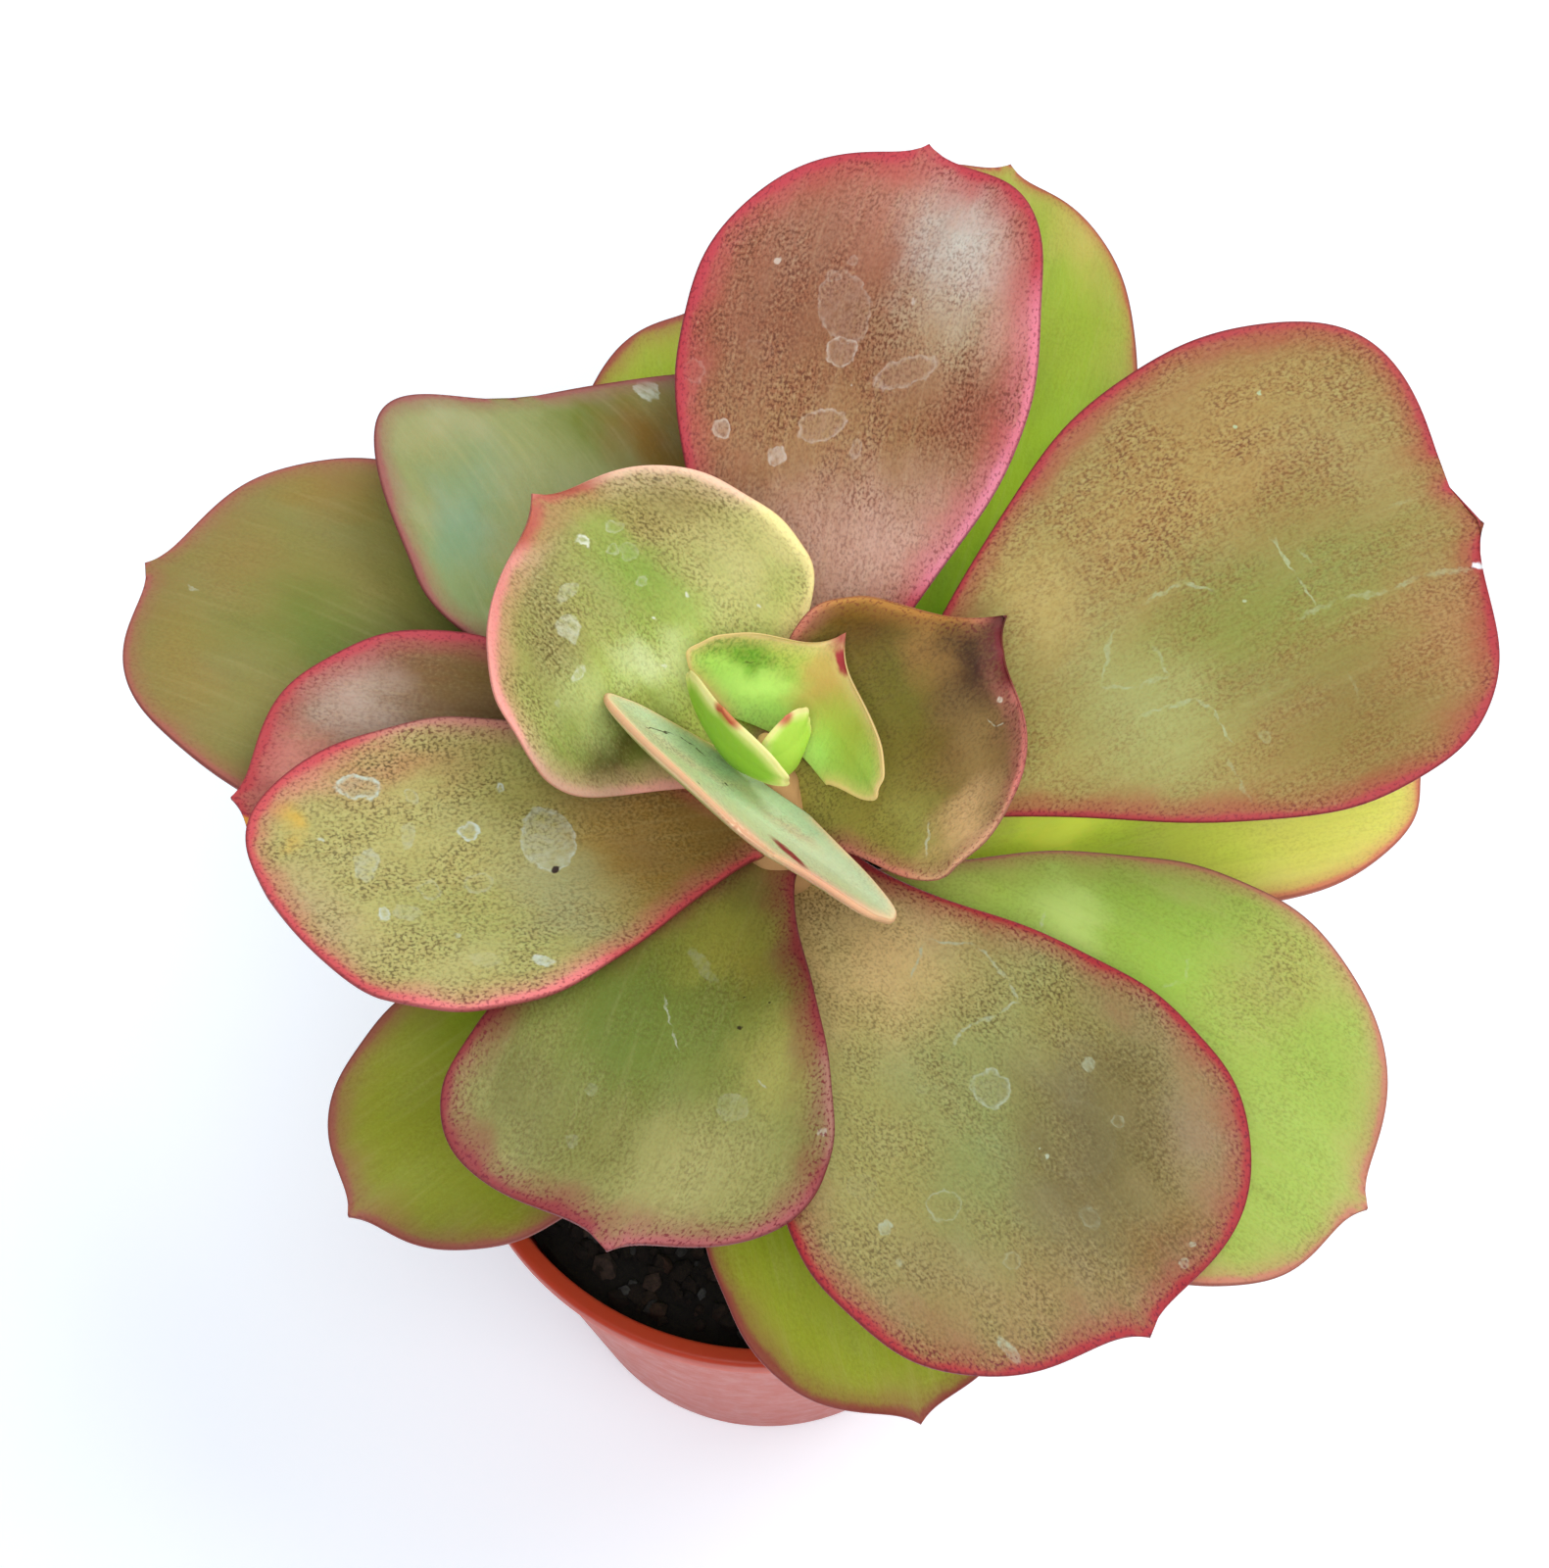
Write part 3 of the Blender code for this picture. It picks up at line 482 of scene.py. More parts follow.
def grid_faces(rings, sides):
    """Quads between neighbouring closed rings of a grid, outward where the rings run clockwise."""
    i, j = np.meshgrid(np.arange(rings - 1), np.arange(sides), indexing="ij")
    after = (j + 1) % sides
    quads = np.stack([i * sides + j, (i + 1) * sides + j, (i + 1) * sides + after, i * sides + after], -1)
    return quads.reshape(-1, 4).tolist()


def capped_faces(rings, sides):
    """The quads of a grid, and one flat face over its first ring and one over its last."""
    last = (rings - 1) * sides
    return grid_faces(rings, sides) + [list(range(sides)), list(range(last, last + sides))[::-1]]


def new_piece(name, points, faces, node, slot, material, **attributes):
    """A smooth piece from points in millimetres, with its named point attributes and its material."""
    mesh = bpy.data.meshes.new(name)
    mesh.from_pydata((np.reshape(points, (-1, 3)) * MM).tolist(), [], faces)
    mesh.shade_smooth()
    for title, values in attributes.items():
        kind, field = ("FLOAT_VECTOR", "vector") if values.ndim > 1 else ("FLOAT", "value")
        layer = mesh.attributes.new(title, kind, "POINT")
        layer.data.foreach_set(field, np.ascontiguousarray(values, np.float32).ravel())
    piece = bpy.data.objects.new(name, mesh)
    bpy.context.collection.objects.link(piece)
    piece.data.materials.append(material)
    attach(piece, "root")
    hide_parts(node)
    return piece


# Materials
def colour(code):
    """An sRGB hex colour as linear red, green, blue and alpha."""
    parts = [int(code[i:i + 2], 16) / 255 for i in (0, 2, 4)]
    return [c / 12.92 if c <= 0.04045 else ((c + 0.055) / 1.055) ** 2.4 for c in parts] + [1.0]


def set_inputs(node, inputs):
    """Gives a node's inputs their values, or links them where the value is another node's output."""
    for key, value in dict(inputs).items():
        if isinstance(value, bpy.types.NodeSocket):
            node.id_data.links.new(value, node.inputs[key])
        else:
            node.inputs[key].default_value = value


def add(tree, kind, inputs=(), stops=(), **settings):
    """Adds a node with its settings, its inputs and a ramp's stops, and gives back its outputs."""
    made = tree.nodes.new("ShaderNode" + kind)
    for key, value in settings.items():
        setattr(made, key, value)
    set_inputs(made, inputs)
    for i, (place, shade) in enumerate(stops):
        ramp = made.color_ramp
        stop = ramp.elements[i] if i < 2 else ramp.elements.new(place)
        stop.position = place
        stop.color = shade
    return made.outputs


def new_material(name, values):
    """A Principled material, with the values that are the same all over set on its own sockets.

    It comes with the function that adds nodes to it, and with its surface node.
    """
    material = bpy.data.materials.new(name)
    material.use_nodes = True
    tree = material.node_tree
    surface = tree.nodes["Principled BSDF"]
    set_inputs(surface, values)
    return material, functools.partial(add, tree), surface


def wander(node, place, noise, reach):
    """A place that a noise moves across and along the leaf, by up to half of reach either way."""
    moved = node("VectorMath", {0: noise, 1: (reach, reach, 0), 2: place}, operation="MULTIPLY_ADD")[0]
    return node("VectorMath", {0: moved, 1: (reach / 2, reach / 2, 0)}, operation="SUBTRACT")[0]


def spot_distance(node, place, middle, half_long, half_wide, turn):
    """How far a place lies from the middle of an oval spot, with 1 at the spot's border."""
    local = node("Mapping", {"Vector": place, "Location": (*middle, 0), "Rotation": (0, 0, turn),
                             "Scale": (half_long, half_wide, NO_DEPTH)}, vector_type="TEXTURE")[0]
    return node("VectorMath", {0: local}, operation="LENGTH")["Value"]


def lay(node, under, paint, source, low, high, amount=1.0, mask=None):
    """Lays a paint over another, from none where the source is low to amount where it is high."""
    cover = node("MapRange", {0: source, 1: low, 2: high, 4: amount}, interpolation_type="SMOOTHSTEP")[0]
    if mask is not None:
        cover = node("Math", {0: cover, 1: mask}, operation="MULTIPLY")[0]
    return node("Mix", {0: cover, 6: under, 7: paint}, data_type="RGBA")[2]


def mark_strength(node, far, half_wide, core, brim):
    """A dried drop or a scratch: core in its middle, brim just inside its border, none outside it."""
    brim_starts, brim_full = (1 - inside / half_wide for inside in DROP_BRIM)
    levels = (0.0, core), (1.0, 0.0), (max(0.2, brim_starts), core), (max(0.5, brim_full), brim)
    return node("ValToRGB", {0: far}, stops=[(place, [level] * 3 + [1]) for place, level in levels])[0]


def leaf_skin(name, seed, patches, rims, marks):
    """Living succulent leaf: a waxy skin over wet flesh, so a soft gloss, and light that sinks in a little.

    The eye reads fine dark stipple drawn out along the leaf, colours that drift over the blade, a red
    edge that fades inwards, a pale bloom where the wax is whole, and pale rings where drops have dried.
    """
    at = SKINS[name]
    material, node, surface = new_material("succulent_skin_" + name, {
        "IOR": 1.4, "Specular IOR Level": 0.25, "Subsurface Weight": 0.1, "Subsurface Scale": 1.5 * MM})
    along, top, tip = (node("Attribute", attribute_name=title)["Fac"] for title in ("along", "upper", "tip"))
    flat = node("Attribute", attribute_name="flat")["Vector"]
    edge = node("SeparateXYZ", {0: flat})[2]
    noise = {}
    for title, (wide, long, detail) in PATTERNS.items():
        spread = node("VectorMath", {0: flat, 1: (1 / wide, 1 / long, 0), 2: (7.3 * seed, 0, 0)},
                      operation="MULTIPLY_ADD")[0]
        noise[title] = node("TexNoise", {"Vector": spread, "Scale": 1.0, "Detail": detail})
    slow, cloud, streak, speck, grain, wax = (outputs[0] for outputs in noise.values())

    # The distance from the edge as the blush and the margin see it, which wanders in and out
    blush, rim = at["blush_width"], at["margin_width"]
    blush_edge, rim_edge = (
        node("Math", {0: cloud, 1: reach, 2: edge}, operation="MULTIPLY_ADD")[0]
        for reach in (1.6 * blush, 1.8 * rim))
    drifting = node("Math", {0: slow, 1: 0.5, 2: along}, operation="MULTIPLY_ADD")[0]
    shade = node("ValToRGB", {0: drifting}, stops=[
        (0.37, colour(at["root"])), (1.0, colour(at["tip"])), (0.72, colour(at["blade"]))])[0]

    # Patches, which change the colour and the stipple, and the margin's other colours, some of them painted
    # light
    drift = wander(node, flat, noise["cloud"][1], PATCH_WANDER)
    density = at["flecks"]
    for spot, shown, code, dots in patches:
        far = spot_distance(node, drift, *spot)
        cover = node("MapRange", {0: far, 1: 1.7, 2: 0.0}, interpolation_type="SMOOTHSTEP")[0]
        density = node("Mix", {0: cover, 2: density, 3: dots})[0]
        shade = lay(node, shade, colour(code), far, 1.7, 0.0, shown)
    margin = colour(at["margin"])
    for spot, code in rims:
        margin = lay(node, margin, colour(code), spot_distance(node, flat, *spot), 1.4, 0.6)

    # Marks with crooked borders, gathered by their colour
    crooked = node("TexNoise", {"Vector": flat, "Scale": MARK_CROOK, "Detail": 2.0})[1]
    bent = wander(node, flat, crooked, MARK_WANDER)
    covers = {at["mark"]: 0.0}
    for spot, core, brim, *own in marks:
        far = spot_distance(node, bent, *spot)
        if own:
            paint = own[0]
            cover = node("MapRange", {0: far, 1: 1.0, 2: 0.3, 4: core}, interpolation_type="SMOOTHSTEP")[0]
        else:
            paint = DARK_MARK if core < 0 else at["mark"]
            cover = mark_strength(node, far, spot[2], abs(core), max(abs(core), brim))
        covers[paint] = node("Math", {0: covers.get(paint, 0.0), 1: cover}, operation="MAXIMUM")[0]
    uneven = node("MapRange", {0: speck, 1: 0.35, 2: 0.62, 3: 0.5, 4: 1.1})[0]
    pale = node("Math", {0: covers.pop(at["mark"]), 1: uneven}, operation="MULTIPLY")[0]

    # Stipple is weaker under a pale mark, and comes and goes over the blade
    clear = node("Math", {0: 1.0, 1: pale}, operation="SUBTRACT")[0]
    patchy = node("MapRange", {0: cloud, 1: 0.38, 2: 0.62, 3: 0.3, 4: 1.0})[0]
    for share in (clear, patchy):
        density = node("Math", {0: density, 1: share}, operation="MULTIPLY")[0]

    # Paints from the lowest up: what each follows, where it starts and is full, how much of it shows,
    # its colour and its mask
    near_edge = node("MapRange", {0: edge, 1: 2.6 * rim, 2: rim})[0]
    paints = [(top, 1.0, 0.0, 1.0, at["under"], None),
              (streak, 0.5, 0.75, at["streaks"], at["fleck"], top),
              (streak, 0.5, 0.25, at["streaks"], at["light"], top),
              (blush_edge, 1.8 * blush, 0.8 * blush, at["blush_share"], at["blush"], None),
              (wax, 0.45, 0.75, at["bloom"], WAX, top),
              (pale, 0.0, 1.0, 1.0, at["mark"], top),
              (rim_edge, 4.25 * rim, 1.25 * rim, 0.45, margin, None),
              (speck, 0.4, 0.62, 0.5, at["mottle"], density),
              (grain, 0.47, 0.62, 0.9, at["fleck"], density),
              (grain, 0.44, 0.32, 0.3, at["light"], density),
              (rim_edge, 2.15 * rim, 1.25 * rim, at["margin_share"], margin, None),
              (grain, 0.55, 0.63, at["specks"], SPECK, near_edge),
              # The outline is a painted shadow along the very edge of the leaf.
              (edge, 0.4, 0.1, at["outline_share"], at["outline"], None)]
    if at["flush"]:
        paints.append((tip, at["flush_reach"], 0.2 * at["flush_reach"], 0.8, at["flush"], None))
    paints += [(cover, 0.0, 1.0, 1.0, paint, top) for paint, cover in covers.items()]
    for source, low, high, amount, paint, mask in paints:
        paint = colour(paint) if isinstance(paint, str) else paint
        shade = lay(node, shade, paint, source, low, high, amount, mask)

    # A fine roughness that follows the stipple, over a softer unevenness
    relief = node("Math", {0: speck, 1: 3.0, 2: grain}, operation="MULTIPLY_ADD")[0]
    set_inputs(surface, {
        # The tone over the whole skin is painted light and shade.
        "Base Color": node("HueSaturation", {"Value": at["tone"], "Color": shade})[0],
        "Roughness": node("MapRange", {0: speck, 1: 0.3, 2: 0.7, 3: 0.42, 4: 0.58})[0],
        "Normal": node("Bump", {"Strength": 0.25, "Distance": 0.1 * MM, "Height": relief})[0]})
    return material


# Leaves
def leaf_surface(at, seed):
    """A leaf on a fine grid, as rings of points from its root to its tip, with where each point lies.

    The midrib is an arc of the leaf's length that leaves the stem at rise[0] and ends at rise[1].
    Across it lies the half width: a sine that grows from the neck to the widest place, then a
    squared circle to the tip. The section is bent up into an arc of cup degrees to each side, and
    its thickness is a flattened super-ellipse, deeper below than above. Crossing waves make the
    blade and its outline a little uneven, and a channel runs along the neck. With the rings come
    along (0 to 1), upper (1 on the upper face), flat (millimetres across, along and in from the
    edge) and tip (millimetres from the point of the leaf).
    """
    widest = at["widest"]
    to_widest = np.linspace(0, widest, NECK_RINGS, endpoint=False)
    to_tip = widest + (1 - widest) * np.sin(np.linspace(0, np.pi / 2, BLADE_RINGS))
    along = np.concatenate([to_widest, to_tip])
    before = np.clip(along / widest, 0, 1)
    past = np.clip((along - widest) / (1 - widest), 0, 1)

    # The midrib, with the directions ahead, across and above at each ring
    steps = np.linspace(0, 1, 201)
    rise = np.radians(at["rise"][0] + (at["rise"][1] - at["rise"][0]) * steps ** at["bend"])
    turn = np.radians(at["azimuth"] + at["sway"] * (steps - 0.35))
    ahead = np.stack([np.cos(rise) * np.cos(turn), np.cos(rise) * np.sin(turn), np.sin(rise)], -1)
    moves = (ahead[1:] + ahead[:-1]) / 2 * at["length"] / (len(steps) - 1)
    start = np.radians(at["azimuth"])
    root = stem_axis(at["height"]) + at["reach"] * np.array([np.cos(start), np.sin(start), 0])
    midrib = root + np.vstack([np.zeros(3), np.cumsum(moves, 0)])
    centre, ahead = (np.stack([np.interp(along, steps, line[:, k]) for k in range(3)], -1)
                     for line in (midrib, ahead))
    ahead /= np.linalg.norm(ahead, axis=1)[:, None]
    turn = np.interp(along, steps, turn)
    across = np.stack([np.sin(turn), -np.cos(turn), 0 * turn], -1)
    above = np.cross(across, ahead)
    roll = np.radians(at["roll"])
    across, above = (across * np.cos(roll) + above * np.sin(roll),
                     above * np.cos(roll) - across * np.sin(roll))

    # The half width at each ring, and the section across it as x and z
    growing = at["neck"] + (1 - at["neck"]) * np.sin(np.pi / 2 * before) ** at["taper"]
    closing = (1 - past**2) ** (0.5 * at["blunt"])
    half = np.where(along < widest, growing, closing)[:, None] * at["width"] / 2
    angle = full_turn(LEAF_SIDES)
    side = np.sign(np.cos(angle)) * np.abs(np.cos(angle)) ** 0.9
    half = half * np.where(side > 0, 1 + at["skew"], 1 - at["skew"])
    phase = seed * 1.7
    uneven = (np.sin(14 * along + phase) + 0.6 * np.sin(31 * along + 2 * phase))[:, None]
    half = half + RIPPLE * uneven * np.sign(side) * before[:, None] * (1 - past[:, None] ** 6) * 0.5
    cup = np.radians(at["cup"][0] + (at["cup"][1] - at["cup"][0]) * before)[:, None]
    x = half / cup * np.sin(cup * side)
    crease = CREASE * at["width"]
    lift = np.tan(np.radians(at["fold"])) * (np.hypot(x, crease) - crease)
    z = half / cup * (1 - np.cos(cup * side)) + lift
    swell = 0.75 + 0.25 * np.sin(np.pi * np.clip(along / 0.6, 0, 1))
    thinning = np.sqrt(1 - (np.clip(along - 0.45, 0, 1) / 0.56) ** 3)
    depth = np.abs(np.sin(angle)).round(9) ** 0.6 * np.where(np.sin(angle) > 0, UPPER_SHARE, UPPER_SHARE - 1)
    z = z + (at["thick"] * swell * thinning)[:, None] * depth

    # Waves over the blade, and the channel along the neck, both weaker on a small leaf
    small = min(1.0, at["length"] / 50)
    over, down = half * side, (along * at["length"])[:, None]
    broad = np.sin(over / 4.1 + phase) * np.sin(down / 6.3 + phase)
    slanting = 0.6 * np.sin(over / 2.3 - down / 5.1 + 3 * phase)
    z = z + WAVE * small * before[:, None] * (broad + slanting)
    channel = np.exp(-(over / (0.06 * at["width"] + 0.6)) ** 2)
    z = z - GROOVE * small * channel * np.sin(np.pi * np.clip(along / 0.8, 0, 1))[:, None]

    # The end: its dent, its small point, its slant and its lean
    dent = at["notch"] * np.exp(-(x ** 2) / (2 * (0.22 * at["width"]) ** 2)) * past[:, None] ** 3
    point = at["mucro"] * np.exp(-np.abs(x - at["point_at"]) / at["point_width"]) * past[:, None] ** 4
    further = point - dent + at["slant"] * x * past[:, None] ** 2
    x = x + (at["lean"] * past**2)[:, None]
    rings = (centre[:, None] + across[:, None] * x[..., None] + above[:, None] * z[..., None]
             + ahead[:, None] * further[..., None])
    rings[-1] = centre[-1] + across[-1] * at["lean"] + ahead[-1] * further[-1, 0]

    # The leaf laid flat, where the edge distance is that to the nearest point of both side lines
    down = down + 0 * over + further
    here = np.stack([over, down], -1)
    outline = np.concatenate([here[:, 0], here[::-1, LEAF_SIDES // 2]])
    outline = outline[outline[:, 1] > 0.02 * at["length"]]
    edge = np.sqrt(((here[:, :, None] - outline) ** 2).sum(-1).min(-1))
    sharp = np.unravel_index(np.argmax(point - dent + down * 1e-3), point.shape)
    return rings, dict(
        along=along[:, None] + 0 * over, upper=(np.sin(angle) > 0) + 0 * over,
        flat=np.stack([over, down, edge], -1), tip=np.linalg.norm(rings - rings[sharp], axis=-1))


def place_spots(entries, rings, flat):
    """Entries with two pixels and a half width, laid on the nearest points of a leaf's upper face.

    Each gives its spot (the middle, half length and half width in flat millimetres, and the turn),
    and then what else the entry has.
    """
    upper = slice(0, LEAF_SIDES // 2 + 1)
    seen = to_pixels(rings[:, upper]).reshape(-1, 2)
    where = flat[:, upper, :2].reshape(-1, 2)
    placed = []
    for x1, y1, x2, y2, wide, *rest in entries:
        one, two = (where[((seen - end) ** 2).sum(-1).argmin()] for end in ((x1, y1), (x2, y2)))
        length = np.linalg.norm(two - one) / 2 + wide
        turn = math.atan2(two[1] - one[1], two[0] - one[0])
        placed.append((((one + two) / 2, length, wide, turn), *rest))
    return placed


def marks_of(name):
    """All marks of a leaf, written as its long ones are: a scratch is one for each straight run."""
    marks = [(x, y, x, y, *rest) for x, y, *rest in ROUND_MARKS.get(name, ())]
    for wide, strength, *path in SCRATCHES.get(name, ()):
        marks += [(*one, *two, wide, strength, strength) for one, two in zip(path, path[1:])]
    return marks + LONG_MARKS.get(name, [])


def make_leaf(name, seed):
    """The rings of a leaf, closed by a flat face at its root and a fan to the one point of its tip."""
    rings, values = leaf_surface(LEAVES[name], seed)
    tip = (len(rings) - 1) * LEAF_SIDES
    around = np.arange(LEAF_SIDES)
    last = tip - LEAF_SIDES + around
    fan = np.stack([last, np.full(LEAF_SIDES, tip), np.roll(last, -1)], -1)
    faces = grid_faces(len(rings) - 1, LEAF_SIDES) + fan.tolist() + [around.tolist()]
    patches, rims, marks = (
        place_spots(entries, rings, values["flat"])
        for entries in (PATCHES.get(name, ()), RIMS.get(name, ()), marks_of(name)))
    values = {title: each.reshape(-1, *each.shape[2:])[:tip + 1] for title, each in values.items()}
    new_piece(name + "_blade", rings.reshape(-1, 3)[:tip + 1], faces, name, SKINS[name]["slot"],
              leaf_skin(name, seed, patches, rims, marks), **values)


# Stem
def stem_bark():
    """Succulent stem: green-brown corky skin with old leaf scars, so dull and uneven."""
    material, node, surface = new_material("corky_stem", {"Roughness": 0.75, "IOR": 1.4})
    place = node("TexCoord")["Object"]
    cork = node("TexNoise", {"Vector": place, "Scale": 1 / (2 * MM), "Detail": 5.0, "Roughness": 0.7})[0]
    bark = node("ValToRGB", {0: cork}, stops=[
        (0.3, colour("6E6A3C")), (0.7, colour("A39A62")), (0.5, colour("87804A"))])[0]
    height = node("SeparateXYZ", {0: place})[2]
    young = node("MapRange", {0: height, 1: STEM_YOUNG[0] * MM, 2: STEM_YOUNG[1] * MM})[0]
    set_inputs(surface, {
        "Base Color": node("Mix", {0: young, 6: bark, 7: colour("D8A870")}, data_type="RGBA")[2],
        "Normal": node("Bump", {"Strength": 0.5, "Distance": 0.4 * MM, "Height": cork})[0]})
    return material


def make_stem():
    """Level rings round the stem's centre line, with a relief of two crossing spirals of leaf scars."""
    rings, sides = 150, 72
    height = np.linspace(STEM_HEIGHTS[0], STEM_HEIGHTS[-1], rings)[:, None]
    radius = np.interp(height, STEM_HEIGHTS, STEM_RADII)
    angle = -full_turn(sides)
    scars = np.abs(np.sin(1.5 * angle + height / 3.2) * np.sin(2.5 * angle - height / 3.9))
    radius = radius - SCAR_DEPTH * scars * (radius > 3)
    points = stem_axis(height.ravel())[:, None] + ring_points(radius, angle, 0 * radius)
    new_piece("stem_bark", points, capped_faces(rings, sides), "stem", "stem", stem_bark())


# Soil
def soil_crumb():
    """Potting mix: damp peat, nearly black, with grit and bark crumbs of other browns and greys."""
    material, node, surface = new_material("peat_and_grit", {"Roughness": 0.92, "IOR": 1.33})
    place = node("TexCoord")["Object"]
    crumb = node("TexNoise", {"Vector": place, "Scale": 1 / (0.8 * MM), "Detail": 4.0, "Roughness": 0.7})[0]
    grain = node("Attribute", attribute_name="grain")["Fac"]
    shade = node("ValToRGB", {0: grain}, stops=[
        (0.0, colour("1A1411")), (1.0, colour("504F50")), (0.55, colour("261B15")), (0.72, colour("33241B")),
        (0.86, colour("472F24")), (0.93, colour("3A3735"))])[0]
    dark = node("MapRange", {0: crumb, 1: 0.35, 2: 0.65, 3: 0.3, 4: 0.8})[0]
    set_inputs(surface, {
        "Base Color": node("VectorMath", {0: shade, "Scale": dark}, operation="SCALE")[0],
        "Normal": node("Bump", {"Strength": 0.8, "Distance": 0.4 * MM, "Height": crumb})[0]})
    return material


def soil_radius(height):
    """The soil's radius at a height: the pot's inner wall, less the gap."""
    return BASE_RADIUS - POT_WALL - GAP + WALL_SLOPE * height


def soil_height(x, y):
    """The soil's level: a cosine mound with three crossing waves.

    The waves fade out towards the wall as a squared cosine, but stand in full at points that lie
    exactly on the outermost circle.
    """
    share = np.clip(np.hypot(x, y) / soil_radius(SOIL_TOP), 0, 1)
    waves = np.sin(0.55 * x + 0.3 * y) + np.sin(0.5 * y - 0.35 * x + 1.3) + np.sin(0.8 * x - 0.6 * y + 0.4)
    fade = np.sin(np.pi * share / 2 + np.pi / 2 * (share < 1)) ** 2
    return SOIL_TOP + SOIL_MOUND * (1 + np.cos(np.pi * share)) / 2 + SOIL_LUMP * waves * fade


def soil_grains():
    """Loose grains: 20-sided lumps with uneven corners, squashed and turned at random, on the mound."""
    golden = (1 + 5**0.5) / 2
    corners = np.array([(-1, golden, 0), (1, golden, 0), (-1, -golden, 0), (1, -golden, 0), (0, -1, golden),
                        (0, 1, golden), (0, -1, -golden), (0, 1, -golden), (golden, 0, -1), (golden, 0, 1),
                        (-golden, 0, -1), (-golden, 0, 1)]) / math.hypot(1, golden)
    plates = np.array([(0, 11, 5), (0, 5, 1), (0, 1, 7), (0, 7, 10), (0, 10, 11), (1, 5, 9), (5, 11, 4),
                       (11, 10, 2), (10, 7, 6), (7, 1, 8), (3, 9, 4), (3, 4, 2), (3, 2, 6), (3, 6, 8),
                       (3, 8, 9), (4, 9, 5), (2, 4, 11), (6, 2, 10), (8, 6, 7), (9, 8, 1)])
    least, most = GRAIN_SIZES
    size = rng.gamma(4.0, 0.2, GRAINS)[:, None, None] + least
    far = (soil_radius(SOIL_TOP) - GRAIN_KEEP_OFF) * np.sqrt(rng.random(GRAINS))
    around = rng.random(GRAINS) * 2 * np.pi
    x, y = far * np.cos(around), far * np.sin(around)
    spin = np.linalg.qr(rng.normal(size=(GRAINS, 3, 3)))[0]
    spin[:, :, 0] *= np.sign(np.linalg.det(spin))[:, None]
    jitter = 0.75 + 0.5 * rng.random((GRAINS, len(corners), 1))
    squash = 0.6 + 0.6 * rng.random((GRAINS, 1, 3))
    lumps = np.einsum("gij,gkj->gki", spin, corners * jitter * squash) * np.minimum(size, most)
    middle = np.stack([x, y, soil_height(x, y) + GRAIN_LIFT], -1)
    return lumps + middle[:, None], plates + len(corners) * np.arange(GRAINS)[:, None, None]


def make_soil():
    """The soil's side and its mound as rings from the foot to the middle, and the grains on it."""
    rings, sides = 60, 144
    bottom = POT_FLOOR + GAP
    angle = -full_turn(sides)
    foot = ring_points(soil_radius(bottom), angle, bottom)
    radius = soil_radius(SOIL_TOP) * np.linspace(1, 0.002, rings)[:, None]
    top = ring_points(radius, angle, 0 * radius)
    x, y = top[..., 0], top[..., 1]
    top[..., 2] = soil_height(x, y) + SOIL_ROUGH * np.sin(1.9 * x + 0.8 * y) * np.sin(2.3 * y - 1.1 * x)
    points = np.concatenate([foot, top]).reshape(-1, 3)
    grains, plates = soil_grains()
    faces = capped_faces(rings + 1, sides) + (plates.reshape(-1, 3) + len(points)).tolist()
    tone = np.concatenate([np.zeros(len(points)), np.repeat(rng.random(GRAINS), grains.shape[1])])
    points = np.concatenate([points, grains.reshape(-1, 3)])
    piece = new_piece("potting_soil", points, faces, "soil", "soil", soil_crumb(), grain=tone)
    piece.data.set_sharp_from_angle(angle=math.radians(40))


# Pot
def pot_plastic():
    """Injection-moulded polypropylene, terracotta red: smooth, with a soft sheen and faint scuffs."""
    material, node, surface = new_material("moulded_polypropylene", {
        "IOR": 1.49, "Specular IOR Level": 0.2, "Subsurface Weight": 0.4, "Subsurface Scale": 3 * MM})
    place = node("TexCoord")["Object"]
    cloud = node("TexNoise", {"Vector": place, "Scale": 1 / (20 * MM), "Detail": 3.0})[0]
    height = node("SeparateXYZ", {0: place})[2]
    # Painted shade: by height, the wall darkens towards the foot and lightens towards the lip, under a
    # random mottle.
    upper = node("MapRange", {0: height, 1: 0.0, 2: POT_HEIGHT * MM, 3: 0.0, 4: 0.7})[0]
    mottle_and_painted_shade = node("Math", {0: cloud, 1: 0.3, 2: upper}, operation="MULTIPLY_ADD")[0]
    wall = node("ValToRGB", {0: mottle_and_painted_shade}, stops=[(0.15, colour("AC402F")), (0.85, colour("C65A48"))])[0]
    # Painted shade: the lip is a deeper red because it lies in the shadow of the leaves.
    lip = node("MapRange", {0: height, 1: (POT_HEIGHT - LIP_DEPTH) * MM, 2: (POT_HEIGHT - 0.5) * MM})[0]
    scuff = node("TexNoise", {"Vector": place, "Scale": 1 / (3 * MM), "Detail": 6.0, "Roughness": 0.75})[0]
    set_inputs(surface, {
        "Base Color": node("Mix", {0: lip, 6: wall, 7: colour("AC3A20")}, data_type="RGBA")[2],
        "Roughness": node("MapRange", {0: scuff, 1: 0.35, 2: 0.7, 3: 0.34, 4: 0.52})[0],
        "Normal": node("Bump", {"Strength": 0.12, "Distance": 0.2 * MM, "Height": scuff})[0]})
    return material


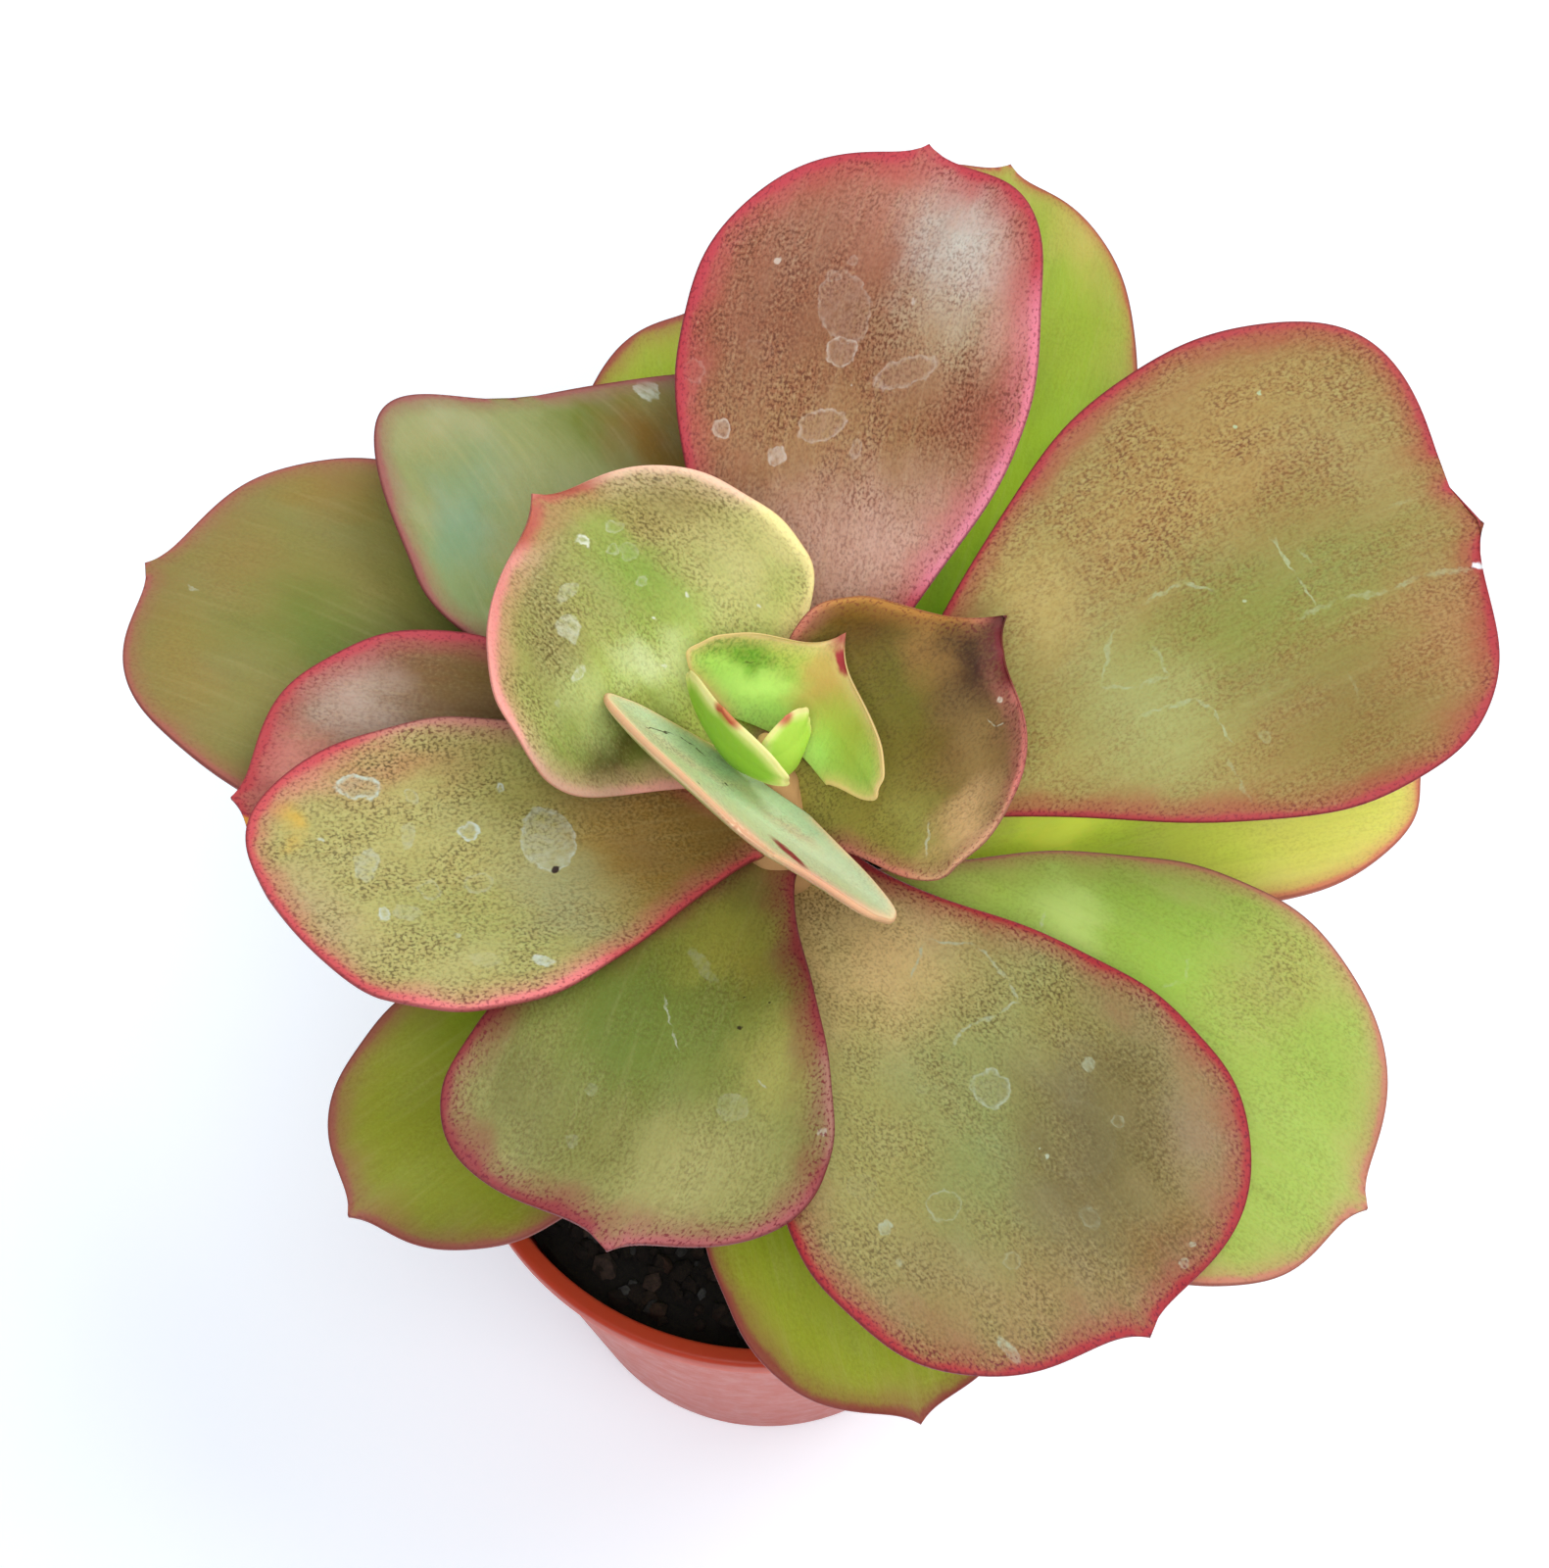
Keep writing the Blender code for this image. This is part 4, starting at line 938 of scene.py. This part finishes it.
def make_pot():
    """The wall's outline turned round Z in fine steps, its corners rounded, with the drain holes cut."""
    under_lip = POT_HEIGHT - LIP_DEPTH
    quarter = np.linspace(0, np.pi / 2, 7)
    towards, away = 1 - np.cos(quarter), 1 - np.sin(quarter)
    outer, inner = LIP_ROUND
    floor_edge = BASE_RADIUS - POT_WALL + WALL_SLOPE * POT_FLOOR
    wall_edge = BASE_RADIUS + WALL_SLOPE * under_lip
    outline = [(HUB_RADIUS, POT_FLOOR), (floor_edge - FLOOR_BEVEL, POT_FLOOR),
               (floor_edge, POT_FLOOR + FLOOR_BEVEL),
               *zip(RIM_RADIUS - LIP_WIDTH + inner * towards, POT_HEIGHT - inner * away),
               *zip(RIM_RADIUS - outer * away, POT_HEIGHT - outer * towards),
               (RIM_RADIUS - LIP_DRAFT, under_lip + LIP_BEVEL),
               (RIM_RADIUS - LIP_DRAFT - LIP_BEVEL, under_lip),
               (wall_edge + LIP_BEVEL, under_lip), (wall_edge, under_lip - LIP_FILLET),
               (BASE_RADIUS + WALL_SLOPE * BASE_ROUND * 2, BASE_ROUND * 2),
               *zip(BASE_RADIUS - BASE_ROUND * towards, BASE_ROUND * away), (HUB_RADIUS, 0.0)]
    radius, height = np.array(outline).T[:, :, None]
    points = ring_points(radius, full_turn(POT_SIDES), height)
    pot = new_piece("pot_body", points, capped_faces(len(outline), POT_SIDES), "pot", "pot", pot_plastic())
    drills = []
    for i in range(DRAIN_HOLES):
        around = 2 * math.pi * i / DRAIN_HOLES
        bpy.ops.mesh.primitive_cylinder_add(
            vertices=48, radius=DRAIN_RADIUS * MM, depth=4 * POT_FLOOR * MM,
            location=(DRAIN_CIRCLE * MM * math.cos(around), DRAIN_CIRCLE * MM * math.sin(around), 0),
            rotation=(0, 0, DRILL_TURN + around))
        drills.append(bpy.context.object)
        cut = pot.modifiers.new(f"drain_{i + 1}", "BOOLEAN")
        cut.operation = "DIFFERENCE"
        cut.object = drills[-1]
    bpy.context.view_layer.update()
    cut_mesh = bpy.data.meshes.new_from_object(pot.evaluated_get(bpy.context.evaluated_depsgraph_get()))
    pot.modifiers.clear()
    pot.data = cut_mesh
    pot.data.shade_smooth()
    pot.data.set_sharp_from_angle(angle=math.radians(35))
    for drill in drills:
        bpy.data.objects.remove(drill, do_unlink=True)


# Room
def make_room():
    """A pale floor that runs out of sight, a broad soft light from behind on the right, and white fill."""
    bpy.ops.mesh.primitive_plane_add(size=FLOOR_SIZE, location=(0, 0, -FLOOR_DROP))
    floor = bpy.context.object
    floor.name = "floor"
    floor.data.materials.append(new_material("pale_floor", {
        "Roughness": 0.9, "Base Color": colour("FAFDFF"), "Emission Color": colour("E4F2FF"),
        "Emission Strength": 0.2})[0])
    world = bpy.data.worlds.new("studio")
    world.use_nodes = True
    set_inputs(world.node_tree.nodes["Background"], {"Color": colour("E6EFFF"), "Strength": SKY_STRENGTH})
    bpy.context.scene.world = world
    for name, place, size, power in LIGHTS:
        light = bpy.data.lights.new(name, "AREA")
        light.shape = "DISK"
        light.size = size
        light.energy = power
        lamp = bpy.data.objects.new(name, light)
        lamp.location = place
        x, y, z = np.subtract(LIT_PLACE, place)
        lamp.rotation_euler = (math.atan2(math.hypot(x, y), -z), 0, math.atan2(-x, y))
        bpy.context.collection.objects.link(lamp)


def make_camera():
    """The camera at CAMERA_AT, looking along +Y and down, with the focal length that it has in pixels."""
    eye = bpy.data.cameras.new("camera")
    eye.sensor_width = SENSOR
    eye.lens = SENSOR * CAMERA_FOCAL / max(IMAGE)
    camera = bpy.data.objects.new("camera", eye)
    camera.location = CAMERA_AT * MM
    camera.rotation_euler = (math.radians(90 - CAMERA_ELEVATION), 0, 0)
    bpy.context.collection.objects.link(camera)
    bpy.context.scene.camera = camera


def main():
    """The camera and the room, then the plant from the heart outwards, the soil and the pot."""
    make_camera()
    make_room()
    for seed, name in enumerate(LEAVES):
        make_leaf(name, seed)
    make_stem()
    make_soil()
    make_pot()
    bpy.context.scene.view_settings.view_transform = "Standard"


main()
